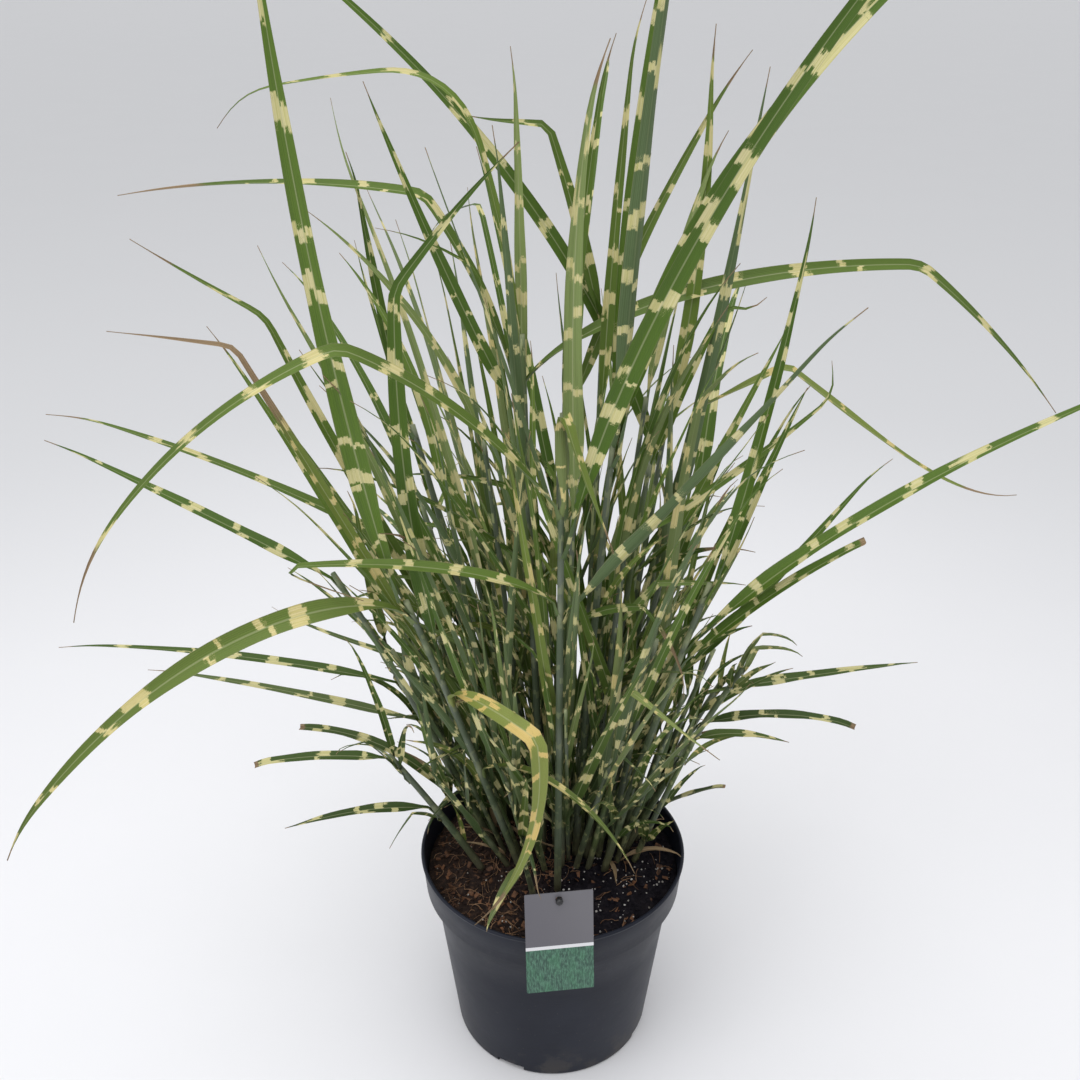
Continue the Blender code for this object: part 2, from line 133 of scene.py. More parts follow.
BLADES = [
    Blade("blade_01", "culm_01", 0.92, 203, 54, -20, 0.440, 0.012, 1.3, 0, 0.45, 44, -40),
    Blade("blade_02", "culm_01", 0.720, 187, 56, -6, 0.252, 0.011, 0.32, 0, 0.775, 150, -30),
    Blade("blade_03", "culm_01", 0.700, 358, 49, 54, 0.300, 0.017, 1.0, 0, 1.0, 0, -60, 20),
    Blade("blade_04", "culm_01", 0.93, 300, 92, 96, 0.165, 0.014, 1.0, 50, 0.38, 162),
    Blade("blade_05", "culm_02", 1.00, 196, 78, 88, 0.490, 0.018, 1.0, 0, 1.0, 0, -105),
    Blade("blade_06", "culm_02", 0.966, 204, 56, -53, 0.355, 0.018, 0.39, 0, 1.0, 0, -50),
    Blade("blade_07", "culm_02", 0.689, 300, 64, -56, 0.300, 0.015, 0.415, 66, 0.35, 67, 12, 82),
    Blade("blade_08", "culm_02", 0.42, 322, 40, -55, 0.170, 0.009, 0.9),
    Blade("blade_20", "culm_02", 0.78, 352, 102, 80, 0.420, 0.016, 1.0, 0, 0.70, 34, 100),
    Blade("blade_09", "culm_05", 0.665, 176, 32, 15, 0.350, 0.011, 1.0, 0, 1.0, 0, -25),
    Blade("blade_10", "culm_03", 0.98, 172, 28, 24, 0.245, 0.012, 1.0, 0, 1.0, 0, -25),
    Blade("blade_11", "culm_03", 0.62, 176, 12, -2, 0.285, 0.010, 1.0, 0, 1.0, 0, -20),
    Blade("blade_12", "culm_05", 0.38, 176, 62, 69, 0.470, 0.013, 1.0, 0, 0.77, 38, -50),
    Blade("blade_13", "culm_04", 0.55, 192, 14, -16, 0.120, 0.010, 1.0, 0, 1.0, 0, -25),
    Blade("blade_14", "culm_04", 0.98, 188, 14, -8, 0.105, 0.009, 1.0, 0, 1.0, 0, -25),
    Blade("blade_15", "culm_02", 0.86, 170, 62, 62, 0.345, 0.009, 1.0, 0, 0.74, 58, -40),
    Blade("blade_16", "culm_05", 1.00, 204, 80, 84, 0.215, 0.011, 1.0, 0, 1.0, 0, -80),
    Blade("blade_17", "culm_06", 0.95, 200, 64, 70, 0.255, 0.011, 1.0, 0, 1.0, 0, -100),
    Blade("blade_18", "culm_06", 1.00, 170, 84, 38, 0.385, 0.011, 0.5, 0, 0.385, 48, -30),
    Blade("blade_19", "culm_06", 0.80, 252, 82, 77, 0.280, 0.010),
    Blade("blade_21", "culm_08", 0.80, 176, 78, 33, 0.540, 0.013, 0.85, 0, 1.0, 0, -75),
    Blade("blade_22", "culm_07", 0.90, 22, 90, 72, 0.470, 0.014, 1.6, 0, 1.0, 0, 65),
    Blade("blade_23", "culm_07", 0.98, 300, 86, 76, 0.400, 0.015, 1.3),
    Blade("blade_24", "culm_01", 0.84, 345, 80, 49, 0.540, 0.017, 0.75, 0, 1.0, 0, 105),
    Blade("blade_25", "culm_07", 0.94, 350, 86, 34, 0.480, 0.018, 0.8, 0, 1.0, 0, 75),
    Blade("blade_26", "culm_06", 1.00, 6, 66, -14, 0.490, 0.014, 0.35, 0, 0.64, 34, 34, 44),
    Blade("blade_27", "culm_08", 0.70, 340, 80, 84, 0.370, 0.012, 1.0, 0, 1.0, 0, -80),
    Blade("blade_28", "culm_09", 1.00, 338, 78, 84, 0.290, 0.011, 1.0, 0, 1.0, 0, 80),
    Blade("blade_29", "culm_08", 1.00, 352, 30, 76, 0.280, 0.010, 6.0, 0, 0.24, 66, 20),
    Blade("blade_30", "culm_09", 0.97, 10, 72, 68, 0.170, 0.010, 1.0, 0, 1.0, 0, 60),
    Blade("blade_31", "culm_09", 0.82, 350, 54, 28, 0.390, 0.014, 0.7, 0, 1.0, 0, 30),
    Blade("blade_32", "culm_09", 0.76, 348, 52, 36, 0.170, 0.011, 1.0, 0, 1.0, 0, 30),
    Blade("blade_33", "culm_09", 0.70, 16, 44, 50, 0.235, 0.010, 1.0, 0, 1.0, 0, 50),
    Blade("blade_34", "culm_11", 0.92, 8, 6, 2, 0.180, 0.011, 1.0, 0, 1.0, 0, 20),
    Blade("blade_35", "culm_11", 0.70, 352, 24, -14, 0.135, 0.010, 1.0, 0, 1.0, 0, 20),
    Blade("blade_36", "culm_11", 0.12, 344, 44, 24, 0.080, 0.008),
    Blade("blade_37", "culm_12", 0.98, 80, 74, 20, 0.420, 0.016),
    Blade("blade_38", "culm_12", 0.72, 120, 68, 62, 0.350, 0.013),
    Blade("blade_39", "culm_13", 0.96, 138, 66, 34, 0.270, 0.012),
    Blade("blade_40", "culm_13", 0.60, 118, 24, -14, 0.260, 0.011),
    Blade("blade_41", "culm_14", 0.97, 72, 72, 0, 0.270, 0.016, 1.4),
    Blade("blade_42", "culm_14", 0.62, 66, 28, -16, 0.260, 0.011),
]

# further shoots whose leaves stand clear of the clump, in the same terms

SIDE_CULMS = [
    Culm("low_left", -0.058, 0.022, 170, 67, 2, 0.135),
    Culm("lowest_left", -0.066, 0.032, 178, 58, 2, 0.048),
    Culm("tall_thin", -0.012, 0.040, 180, 89, 1, 0.465),
    Culm("tall_bent", 0.030, 0.050, 60, 89, 1, 0.465),
    Culm("upright_a", -0.008, 0.022, 40, 88, 1, 0.406),
    Culm("upright_b", 0.024, 0.034, 20, 89, 1, 0.400),
    Culm("upright_c", 0.008, -0.012, 20, 89, 0, 0.340),
    Culm("upright_d", 0.046, 0.046, 8, 85, 2, 0.396),
    Culm("upright_e", 0.000, 0.050, 0, 89, 1, 0.400),
    Culm("upright_f", 0.034, 0.050, 0, 86, 2, 0.414),
    Culm("upright_g", -0.012, 0.046, 180, 89, 1, 0.420),
    Culm("curled", 0.036, 0.040, 0, 85, 2, 0.363),
    Culm("low_right_a", 0.072, -0.004, 355, 73, 3, 0.141),
    Culm("low_right_b", 0.076, 0.024, 5, 72, 3, 0.141),
    Culm("right_a", 0.034, 0.020, 2, 80, 2, 0.310),
    Culm("right_b", 0.030, 0.000, 0, 86, 1, 0.315),
    Culm("right_c", 0.050, 0.040, 0, 82, 2, 0.250),
    Culm("left_a", -0.046, 0.044, 180, 77, 2, 0.208),
    Culm("left_b", -0.036, 0.024, 180, 70, 2, 0.225),
    Culm("left_c", -0.022, 0.030, 180, 80, 1, 0.330),
    Culm("thin_left", -0.018, 0.046, 180, 85, 1, 0.380),
    Culm("rim_leaf", -0.016, -0.050, 250, 70, 2, 0.059),
    Culm("slant_a", -0.057, 0.025, 101, 63, 2, 0.147),
    Culm("slant_b", -0.048, 0.053, 133, 55, 2, 0.088),
    Culm("slant_c", -0.038, 0.050, 153, 71, 2, 0.187),
    Culm("slant_d", -0.039, 0.026, 160, 80, 2, 0.244),
    Culm("slant_e", -0.018, 0.066, 144, 76, 2, 0.251),
]

SIDE_BLADES = [
    Blade("", "low_left", 1.00, 170, 10, 2, 0.250, 0.009, 1.0, 0, 1.0, 0, -25),
    Blade("", "lowest_left", 1.00, 165, 62, -10, 0.155, 0.010, 0.7, 0, 1.0, 0, -25),
    Blade("", "tall_thin", 1.00, 170, 82, 62, 0.360, 0.007, 1.0, 0, 0.50, 75, -40, 0, 0.30, 60),
    Blade("", "tall_bent", 1.00, 175, 78, 68, 0.205, 0.012, 1.0, 0, 0.72, 66, -60),
    Blade("", "upright_a", 1.00, 8, 86, 82, 0.265, 0.011, 1.0, 0, 1.0, 0, 82),
    Blade("", "upright_b", 1.00, 5, 88, 85, 0.290, 0.010, 1.0, 0, 1.0, 0, 84),
    Blade("", "upright_c", 1.00, 20, 92, 76, 0.330, 0.016, 2.5, 0, 1.0, 0, 70),
    Blade("", "upright_d", 1.00, 0, 80, 94, 0.280, 0.012, 1.0, 0, 1.0, 0, 84),
    Blade("", "upright_e", 1.00, 6, 72, 58, 0.285, 0.011, 1.0, 0, 1.0, 0, 84),
    Blade("", "upright_f", 1.00, 0, 84, 70, 0.200, 0.010, 1.0, 0, 1.0, 0, 84),
    Blade("", "upright_g", 1.00, 180, 90, 88, 0.240, 0.010, 1.0, 0, 1.0, 0, -90),
    Blade("", "curled", 1.00, 4, 72, 64, 0.165, 0.009, 1.0, 0, 0.80, 80, 60, 0, 0.08, -90),
    Blade("", "low_right_a", 1.00, 355, 40, -18, 0.078, 0.009, 0.5, 0, 1.0, 0, 25),
    Blade("", "low_right_b", 1.00, 5, 48, 22, 0.090, 0.009, 0.4, 0, 1.0, 0, 25),
    Blade("", "right_a", 1.00, 0, 68, 66, 0.185, 0.009, 1.0, 0, 1.0, 0, 75),
    Blade("", "right_b", 1.00, 0, 34, 46, 0.210, 0.008, 1.0, 0, 0.88, -55, 80, 0, 0.16),
    Blade("", "right_c", 1.00, 0, 74, 70, 0.170, 0.009, 1.0, 0, 1.0, 0, 80),
    Blade("", "left_a", 1.00, 180, 80, 84, 0.200, 0.010, 1.0, 0, 1.0, 0, -85),
    Blade("", "left_b", 1.00, 176, 66, 60, 0.295, 0.010, 1.0, 0, 1.0, 0, -70),
    Blade("", "left_c", 1.00, 172, 84, 50, 0.215, 0.010, 1.5, 0, 1.0, 0, -70),
    Blade("", "thin_left", 1.00, 172, 72, 36, 0.215, 0.008, 1.0, 0, 1.0, 0, -50),
    Blade("", "rim_leaf", 1.00, 240, 11, -42, 0.064, 0.012, 0.8, 0, 1.0, 0, 10),
    Blade("", "slant_a", 1.00, 154, -3, 10, 0.227, 0.007, 1.2, 0, 1.0, 0, -40),
    Blade("", "slant_b", 1.00, 156, 44, 20, 0.221, 0.009, 2.3, 0, 1.0, 0, -50),
    Blade("", "slant_c", 1.00, 164, 52, 57, 0.231, 0.010, 0.5, 0, 1.0, 0, -70),
    Blade("", "slant_d", 1.00, 168, 53, 76, 0.209, 0.010, 0.7, 0, 1.0, 0, -75),
    Blade("", "slant_e", 1.00, 155, 75, 63, 0.225, 0.011, 1.6, 0, 1.0, 0, -80),
]

CUT_OFF = ("blade_14", "blade_32", "blade_35", "blade_36", "lowest_left")    # leaves with blunt ends

# how weathered a blade is: how far from the tip it has dried, and how yellow the rest has gone
DRY_TIPS = {
    "blade_01": (0.16, 0.15), "blade_02": (0.24, 0.10), "blade_04": (0.16, 0.35), "blade_06": (0.04, 0.25),
    "blade_07": (0.20, 0.80), "blade_08": (0.10, 0.35), "blade_09": (0.12, 0.10),
    "blade_12": (0.10, 0.10), "blade_15": (0.62, 0.40), "blade_18": (0.26, 0.10),
    "blade_26": (0.06, 0.10), "blade_29": (0.22, 0.50),
}


# ---------------------------------------------------------------- directions and paths

def heading(compass, climb):
    """Unit vector for a compass direction and a climb above level."""
    course = math.radians(compass)
    rise = math.radians(climb)
    level = math.cos(rise)
    return Vector((level * math.cos(course), level * math.sin(course), math.sin(rise)))


def eased(share):
    """0 below 0, 1 above 1, and a smooth step between."""
    share = min(max(share, 0.0), 1.0)
    return share * share * (3.0 - 2.0 * share)


def mixed(low, high, share):
    """The value at a share of the way from low to high."""
    return low + (high - low) * share


def point_along(points, share):
    """The point at a share of the way along evenly spaced points."""
    place = min(max(share, 0.0), 1.0) * (len(points) - 1)
    index = min(int(place), len(points) - 2)
    return points[index].lerp(points[index + 1], place - index)


def stem_path(x, y, compass, climb, nod, length, steps, foot_radius=CULM_FOOT_RADIUS, sink=0.0):
    """Centre line of a stem from the soil up; sink starts it that much below the soil's surface."""
    clearance = foot_radius * math.cos(math.radians(climb))
    points = [Vector((x, y, SOIL_TOP + GAP + clearance - sink))]
    for i in range(steps):
        bent = climb - nod * (i + 0.5) / steps
        points.append(points[-1] + heading(compass, bent) * length / steps)
    return points


# one cross-row of a blade: its middle, the directions across it and out of its upper face, its
# width, how deep its V is over its width, its distance from the foot and its share of the length
Row = namedtuple("Row", "spot side up width cup along share")

TIP_FROM = 0.82               # share of a blade's length where its tip starts to droop and curl
TIP_SPAN = 0.18
SHEATH_WIDTH = 0.0064         # a blade's sheath where it lies round the stem
SHEATH_LENGTH = 0.012
SHEATH_ROWS = 3
BLUNT_TAPER = 0.4             # share of the usual narrowing that a blade with a blunt end has


def turned_row(spot, compass, climb, roll, width, cup, along, share):
    """A cross-row of a blade that heads that way, rolled about its own midrib."""
    forward = heading(compass, climb)
    side = heading(compass + 90.0, 0.0)
    up = forward.cross(side)
    turn = math.radians(roll)
    return Row(
        spot, side * math.cos(turn) + up * math.sin(turn), up * math.cos(turn) - side * math.sin(turn),
        width, cup, along, share,
    )


def blade_heading(grow, share, drop, curl):
    """Climb and compass of a blade at a share of its length; drop and curl bend its tip."""
    climb = grow.rise + (grow.fall - grow.rise) * share ** grow.bend
    climb -= grow.fold_by * eased((share - grow.fold_at) / grow.span + 0.5)
    tip = eased((share - TIP_FROM) / TIP_SPAN)
    return climb - drop * tip, grow.compass + grow.turn * share + curl * tip


def sheath_rows(first, foot):
    """Cross-rows that lead from a point on the stem to a blade's first row."""
    rows = []
    for i in range(SHEATH_ROWS):
        share = i / SHEATH_ROWS
        spot = foot.lerp(first.spot, share ** 1.5)
        rows.append(first._replace(
            spot=spot, width=mixed(SHEATH_WIDTH, first.width, share), cup=mixed(0.55, first.cup, share),
            along=first.along - (first.spot - spot).length, share=0.0,
        ))
    return rows


def blade_rows(start, grow, steps, chance, foot=None, wander=1.0, blunt=False):
    """The cross-rows of one blade from where it leaves its stem to its tip.

    foot is a point lower on the stem's surface that the blade's sheath rises from.
    wander is how much of its own droop, curl and waviness it gets.
    blunt is for a blade that was cut off, and so keeps its width to the end."""
    rows = []
    spot = start.copy()
    phase = chance.uniform(0, math.tau)
    waves = chance.uniform(1.5, 3.5)
    cup = chance.uniform(0.14, 0.24)
    curl = chance.uniform(-26, 26) * wander
    drop = chance.uniform(-10, 22) * wander
    if grow.drop is not None:
        drop = grow.drop * wander
    for i in range(steps + 1):
        share = i / steps
        climb, compass = blade_heading(grow, share, drop, curl)
        opening = FOOT_WIDTH + (1.0 - FOOT_WIDTH) * eased(share / OPENS_BY)
        swell = 1.0 + 0.05 * math.sin(phase + share * 17.0)
        narrows = share ** TAPER * (BLUNT_TAPER if blunt else 1.0)
        width = grow.width * max(opening * (1.0 - narrows) * swell, TIP_WIDTH)
        settle = eased(share / 0.14)
        roll = grow.roll * settle + grow.twist * share
        roll += 7.0 * wander * settle * math.sin(phase + waves * math.tau * share)
        depth = mixed(0.34, cup, eased(share / 0.2)) + 0.10 * eased((share - 0.8) / 0.2)
        rows.append(turned_row(spot.copy(), compass, climb, roll, width, depth, grow.length * share, share))
        climb, compass = blade_heading(grow, (i + 0.5) / steps, drop, curl)
        spot += heading(compass, climb) * grow.length / steps
    return rows if foot is None else sheath_rows(rows[0], foot) + rows


# ---------------------------------------------------------------- meshes of blades and stems

BLADE_AROUND = 8
STEM_AROUND = 10
BLADE_THICKNESS = 0.00035
COLLAR_WIDTH = 0.006          # how far the pale collar at a leaf's foot reaches along the stem


def new_shape():
    """A bmesh with the layers that the plant's finishes read."""
    shape = bmesh.new()
    shape.loops.layers.uv.new("along")
    shape.verts.layers.float_color.new("leaf")
    return shape


def rolled_grid(shape, around, rows):
    """A sheet with that many strips around and rows along, as {vertex: (column, row)}."""
    made = bmesh.ops.create_grid(shape, x_segments=around, y_segments=rows - 1, size=1.0)
    return {
        vert: (round((vert.co.x + 1) / 2 * around), round((vert.co.y + 1) / 2 * (rows - 1)))
        for vert in made["verts"]
    }


def paint_loops(shape, placed, across, along):
    """Writes the UV of every face of a rolled sheet from its column and row."""
    layer = shape.loops.layers.uv["along"]
    faces = {face for vert in placed for face in vert.link_faces}
    for face in faces:
        face.smooth = True
        columns = [placed[loop.vert][0] for loop in face.loops]
        lower = max(columns)
        for loop in face.loops:
            column, row = placed[loop.vert]
            loop[layer].uv = (across(column, lower), along[row])


def add_blade(shape, rows, seed, dry_tip=0.06, yellow=0.0, banding=1.0, pace=1.0):
    """Adds one blade: a thin V-section sheet, closed, with a raised midrib below.

    pace above 1 brings its pale bands closer together."""
    placed = rolled_grid(shape, BLADE_AROUND, len(rows))
    facts = shape.verts.layers.float_color["leaf"]
    half = BLADE_AROUND // 2
    for vert, (column, row) in placed.items():
        line = rows[row]
        upper = column <= half
        across = 1.0 - 2.0 * column / half if upper else -1.0 + 2.0 * (column - half) / half
        rise = line.cup * line.width * abs(across) ** 1.15
        rib = 0.10 * line.width * (1.0 - abs(across)) * (1.0 - line.share)
        sink = 0.0 if abs(across) > 0.99 else BLADE_THICKNESS + rib
        height = rise if upper else rise - sink
        vert.co = line.spot + line.side * (across * line.width / 2) + line.up * height
        dryness = eased((line.share - (1.0 - dry_tip)) / max(dry_tip, 0.01) * 1.6)
        vert[facts] = (seed, dryness, yellow, banding)

    def share_across(column, lower):
        """0 to 1 over the upper face, 0 to -1 over the lower one."""
        if lower <= half:
            return 1.0 - column / half
        return -(column - half) / half

    paint_loops(shape, placed, share_across, [row.along * pace for row in rows])
    for vert, (column, row) in placed.items():
        if column % half == 0:
            for edge in vert.link_edges:
                other = edge.other_vert(vert)
                if placed.get(other, (-1, -1))[0] == column:
                    edge.smooth = False


def add_stem(shape, points, radii, seed, banding=0.5, flat=0.9, collars=()):
    """Adds one stem: a tube, a little flattened, whose UV runs round it and along it."""
    placed = rolled_grid(shape, STEM_AROUND, len(points))
    facts = shape.verts.layers.float_color["leaf"]
    forwards = [
        (points[min(i + 1, len(points) - 1)] - points[max(i - 1, 0)]).normalized()
        for i in range(len(points))
    ]
    along = [0.0]
    for before, after in zip(points, points[1:]):
        along.append(along[-1] + (after - before).length)
    side = Vector((0.0, -1.0, 0.0)) if abs(forwards[0].y) < 0.9 else Vector((1.0, 0.0, 0.0))
    frames = []
    for forward in forwards:
        side = (side - forward * side.dot(forward)).normalized()
        frames.append((side, forward.cross(side)))
    for vert, (column, row) in placed.items():
        angle = math.tau * column / STEM_AROUND
        across, out = frames[row]
        reach = radii[row]
        vert.co = points[row] + across * (math.cos(angle) * reach) + out * (math.sin(angle) * reach * flat)
        near = min((abs(along[row] - collar) for collar in collars), default=1.0)
        vert[facts] = (seed, 0.0, 1.0 - eased(near / COLLAR_WIDTH), banding)
    paint_loops(shape, placed, lambda column, lower: column / STEM_AROUND, along)


def closed(shape):
    """Welds the seams of rolled sheets and fills their ends."""
    bmesh.ops.remove_doubles(shape, verts=shape.verts[:], dist=1e-6)
    ends = [edge for edge in shape.edges if edge.is_boundary]
    bmesh.ops.holes_fill(shape, edges=ends, sides=0)


def piece(name, shape, finish, replaced=()):
    """Turns a bmesh into a piece that rides on the model, and stands for the CAD nodes it replaces."""
    data = bpy.data.meshes.new(name)
    shape.to_mesh(data)
    shape.free()
    data.materials.append(finish)
    item = bpy.data.objects.new(name, data)
    bpy.context.scene.collection.objects.link(item)
    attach(item, "root")
    if replaced:
        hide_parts(*replaced)


# ---------------------------------------------------------------- finishes

class Finish:
    """A material under construction. Each call adds a node and returns its output socket."""

    def __init__(self, name):
        self.material = bpy.data.materials.new(name)
        self.material.use_nodes = True
        self.tree = self.material.node_tree
        self.surface = self.tree.nodes["Principled BSDF"]

    def add(self, kind, inputs=None, **settings):
        made = self.tree.nodes.new(kind)
        for key, value in settings.items():
            setattr(made, key, value)
        for key, value in (inputs or {}).items():
            self.feed(made.inputs[key], value)
        return made

    def feed(self, socket, value):
        """Links another node's output to a socket, or sets the socket to a number or a colour."""
        if isinstance(value, bpy.types.NodeSocket):
            self.tree.links.new(value, socket)
        elif value is not None:
            socket.default_value = (*value, 1.0) if socket.type == "RGBA" else value

    def calc(self, operation, first, second=None, third=None):
        return self.add(
            "ShaderNodeMath", {0: first, 1: second, 2: third}, operation=operation
        ).outputs[0]

    def step(self, value, low, high):
        """A smooth step from 0 to 1 as value goes from low to high, which may be the lesser."""
        return self.add(
            "ShaderNodeMapRange", {"Value": value, "From Min": low, "From Max": high},
            interpolation_type="SMOOTHSTEP",
        ).outputs[0]

    def blend(self, share, low, high):
        """A colour between two others."""
        return self.add("ShaderNodeMix", {0: share, 6: low, 7: high}, data_type="RGBA").outputs[2]

    def cloud(self, place, scale, detail=2.0, rough=0.5, dimensions="3D"):
        """Smooth noise around 0.5; in 1D place is a single number."""
        key = "W" if dimensions == "1D" else "Vector"
        return self.add(
            "ShaderNodeTexNoise", {key: place, "Scale": scale, "Detail": detail, "Roughness": rough},
            noise_dimensions=dimensions,
        ).outputs[0]

    def place(self):
        """Where a point of the surface is, in metres."""
        return self.add("ShaderNodeTexCoord").outputs["Object"]

    def parts(self, vector):
        return self.add("ShaderNodeSeparateXYZ", {0: vector}).outputs

    def vector(self, x, y, z=0.0):
        return self.add("ShaderNodeCombineXYZ", {0: x, 1: y, 2: z}).outputs[0]

    def scaled(self, *parts):
        """A vector from pairs of a value and what it is multiplied by."""
        return self.vector(*(self.calc("MULTIPLY", value, scale) for value, scale in parts))

    def bump(self, height, strength, distance):
        made = self.add("ShaderNodeBump", {"Height": height, "Strength": strength, "Distance": distance})
        self.tree.links.new(made.outputs[0], self.surface.inputs["Normal"])

    def finish(self, colour, roughness, specular):
        self.feed(self.surface.inputs["Base Color"], colour)
        self.feed(self.surface.inputs["Roughness"], roughness)
        self.surface.inputs["Specular IOR Level"].default_value = specular
        return self.material


def plant_facts(finish):
    """What the plant's meshes carry: across, along, seed, dryness, yellow and banding.

    A stem carries how near a collar is where a blade carries how yellow it has gone."""
    along = finish.parts(finish.add("ShaderNodeUVMap", uv_map="along").outputs[0])
    facts = finish.add("ShaderNodeAttribute", attribute_name="leaf")
    seed, dryness, yellow = finish.parts(facts.outputs["Color"])
    return along[0], along[1], seed, dryness, yellow, facts.outputs["Alpha"]


BAND_SPREAD = 0.35            # distance from the foot at which pale bands are twice as far apart
BAND_HALF = 0.105             # mean half width of a band, as a share of the way to the next
BAND_BLOCKS = ((5.0, 0.12), (17.0, 0.020))    # strips across a band that end early or late, and by how much
BLADE_BAND_GAP = 0.030
STEM_BAND_GAP = 0.022


def band_mask(f, across, along, seed, first_gap):
    """Pale cross bands, further apart towards the tip, broken into blocks along the veins."""
    stretch = f.calc("LOGARITHM", f.calc("ADD", f.calc("DIVIDE", along, BAND_SPREAD), 1.0), math.e)
    place = f.calc("MULTIPLY", stretch, BAND_SPREAD / first_gap)
    start = f.calc("MULTIPLY", seed, 173.0)
    cell = f.calc("FLOOR", f.calc("MULTIPLY", place, 1.7))
    steps = []
    for strips, reach in BAND_BLOCKS:
        strip = f.calc("FLOOR", f.calc("MULTIPLY", across, strips))
        block = f.add(
            "ShaderNodeTexWhiteNoise", {"Vector": f.vector(strip, cell, start)}, noise_dimensions="3D"
        ).outputs["Value"]
        steps.append(f.calc("MULTIPLY", f.calc("SUBTRACT", block, 0.5), reach))
    half = f.calc("MULTIPLY_ADD", f.calc("GREATER_THAN", across, 0.5), 2.0, -1.0)
    drift = f.calc("SUBTRACT", f.cloud(f.calc("MULTIPLY_ADD", place, 0.8, start), 1.0, 1.0, 0.5, "1D"), 0.5)
    shifted = f.calc("ADD", f.calc("ADD", place, start), f.calc("MULTIPLY", half, drift))
    shifted = f.calc("ADD", shifted, f.calc("ADD", steps[0], steps[1]))
    cells = f.add(
        "ShaderNodeTexVoronoi", {"W": shifted, "Scale": 1.0, "Randomness": 0.5}, voronoi_dimensions="1D"
    )
    size = f.calc("MULTIPLY_ADD", f.parts(cells.outputs["Color"])[0], BAND_HALF * 1.2, BAND_HALF * 0.38)
    return f.step(f.calc("SUBTRACT", cells.outputs["Distance"], size), 0.014, -0.014)


PALER_LEAVES = 7.31           # a seed times this has a high fraction for the leaves that are paler green
SHADE_TOP = 0.52              # painted shade: blades are darker green below this height, and darkest at the next
SHADE_FOOT = 0.20


def blade_finish():
    """Green blades with cream bands, a pale midrib, rust specks, dry straw tips and a greyer underside."""
    f = Finish("zebra blade")
    signed, along, seed, dryness, yellow, banding = plant_facts(f)
    across = f.calc("ABSOLUTE", signed)
    below = f.calc("LESS_THAN", signed, 0.0)
    off_rib = f.calc("ABSOLUTE", f.calc("SUBTRACT", across, 0.5))
    streak = f.cloud(f.scaled((across, 13.0), (along, 9.0), (seed, 40.0)), 1.0, 3.0, 0.6)
    patch = f.cloud(f.calc("MULTIPLY_ADD", seed, 31.0, along), 7.0, 2.0, 0.5, "1D")

    green = f.blend(f.step(seed, 0.1, 0.9), (0.058, 0.118, 0.009), (0.130, 0.212, 0.028))
    green = f.blend(f.calc("MULTIPLY", f.step(patch, 0.35, 0.7), 0.6), green, (0.085, 0.160, 0.010))
    other = f.calc("FRACT", f.calc("MULTIPLY", seed, PALER_LEAVES))
    green = f.blend(f.calc("MULTIPLY", f.step(other, 0.62, 1.0), 0.8), green, (0.290, 0.360, 0.135))
    green = f.blend(f.calc("MULTIPLY", below, 0.75), green, (0.112, 0.160, 0.078))
    green = f.blend(f.calc("MULTIPLY", f.step(streak, 0.35, 0.75), 0.35), green, (0.055, 0.095, 0.022))
    green = f.blend(f.calc("MULTIPLY", yellow, 0.75), green, (0.330, 0.360, 0.085))
    # painted shade: blades are darker green low in the clump, where the leaves above shade them
    height = f.parts(f.place())[2]
    shaded = f.calc("MULTIPLY", f.step(height, SHADE_TOP, SHADE_FOOT), f.calc("SUBTRACT", 1.0, yellow))
    green = f.blend(f.calc("MULTIPLY", shaded, 0.75), green, (0.026, 0.048, 0.011))

    cream = f.blend(f.step(streak, 0.3, 0.7), (0.680, 0.620, 0.340), (0.520, 0.490, 0.190))
    cream = f.blend(f.calc("MULTIPLY", yellow, 0.85), cream, (0.640, 0.430, 0.110))
    bands = f.calc("MULTIPLY", band_mask(f, across, along, seed, BLADE_BAND_GAP), banding)
    colour = f.blend(bands, green, cream)

    rib = f.step(off_rib, 0.055, 0.020)
    rib = f.calc("MULTIPLY", rib, f.calc("MULTIPLY_ADD", below, -0.25, 0.38))
    colour = f.blend(rib, colour, (0.440, 0.460, 0.260))
    margin = f.calc("MULTIPLY", f.step(off_rib, 0.45, 0.495), 0.35)
    colour = f.blend(margin, colour, (0.230, 0.210, 0.120))

    speck = f.cloud(f.scaled((across, 30.0), (along, 240.0), (seed, 1.0)), 1.0, 2.0)
    rust = f.calc("MULTIPLY", f.step(speck, 0.66, 0.72), f.calc("MULTIPLY_ADD", yellow, 0.7, 0.06))
    colour = f.blend(rust, colour, (0.190, 0.075, 0.020))

    ragged = f.calc("ADD", dryness, f.calc("MULTIPLY", f.calc("SUBTRACT", streak, 0.5), 0.8))
    straw = f.blend(f.step(streak, 0.35, 0.65), (0.350, 0.250, 0.140), (0.165, 0.110, 0.062))
    dried = f.calc("MULTIPLY", f.step(ragged, 0.35, 0.60), f.calc("GREATER_THAN", dryness, 0.001))
    colour = f.blend(dried, colour, straw)

    veins = f.calc("SINE", f.calc("MULTIPLY", across, math.tau * 11.0))
    f.bump(f.calc("MULTIPLY_ADD", streak, 0.6, f.calc("MULTIPLY", veins, 0.5)), 0.35, 0.0004)
    rough = f.calc("MULTIPLY_ADD", streak, 0.20, f.calc("MULTIPLY_ADD", dried, 0.25, 0.40))
    return f.finish(colour, rough, specular=0.32)


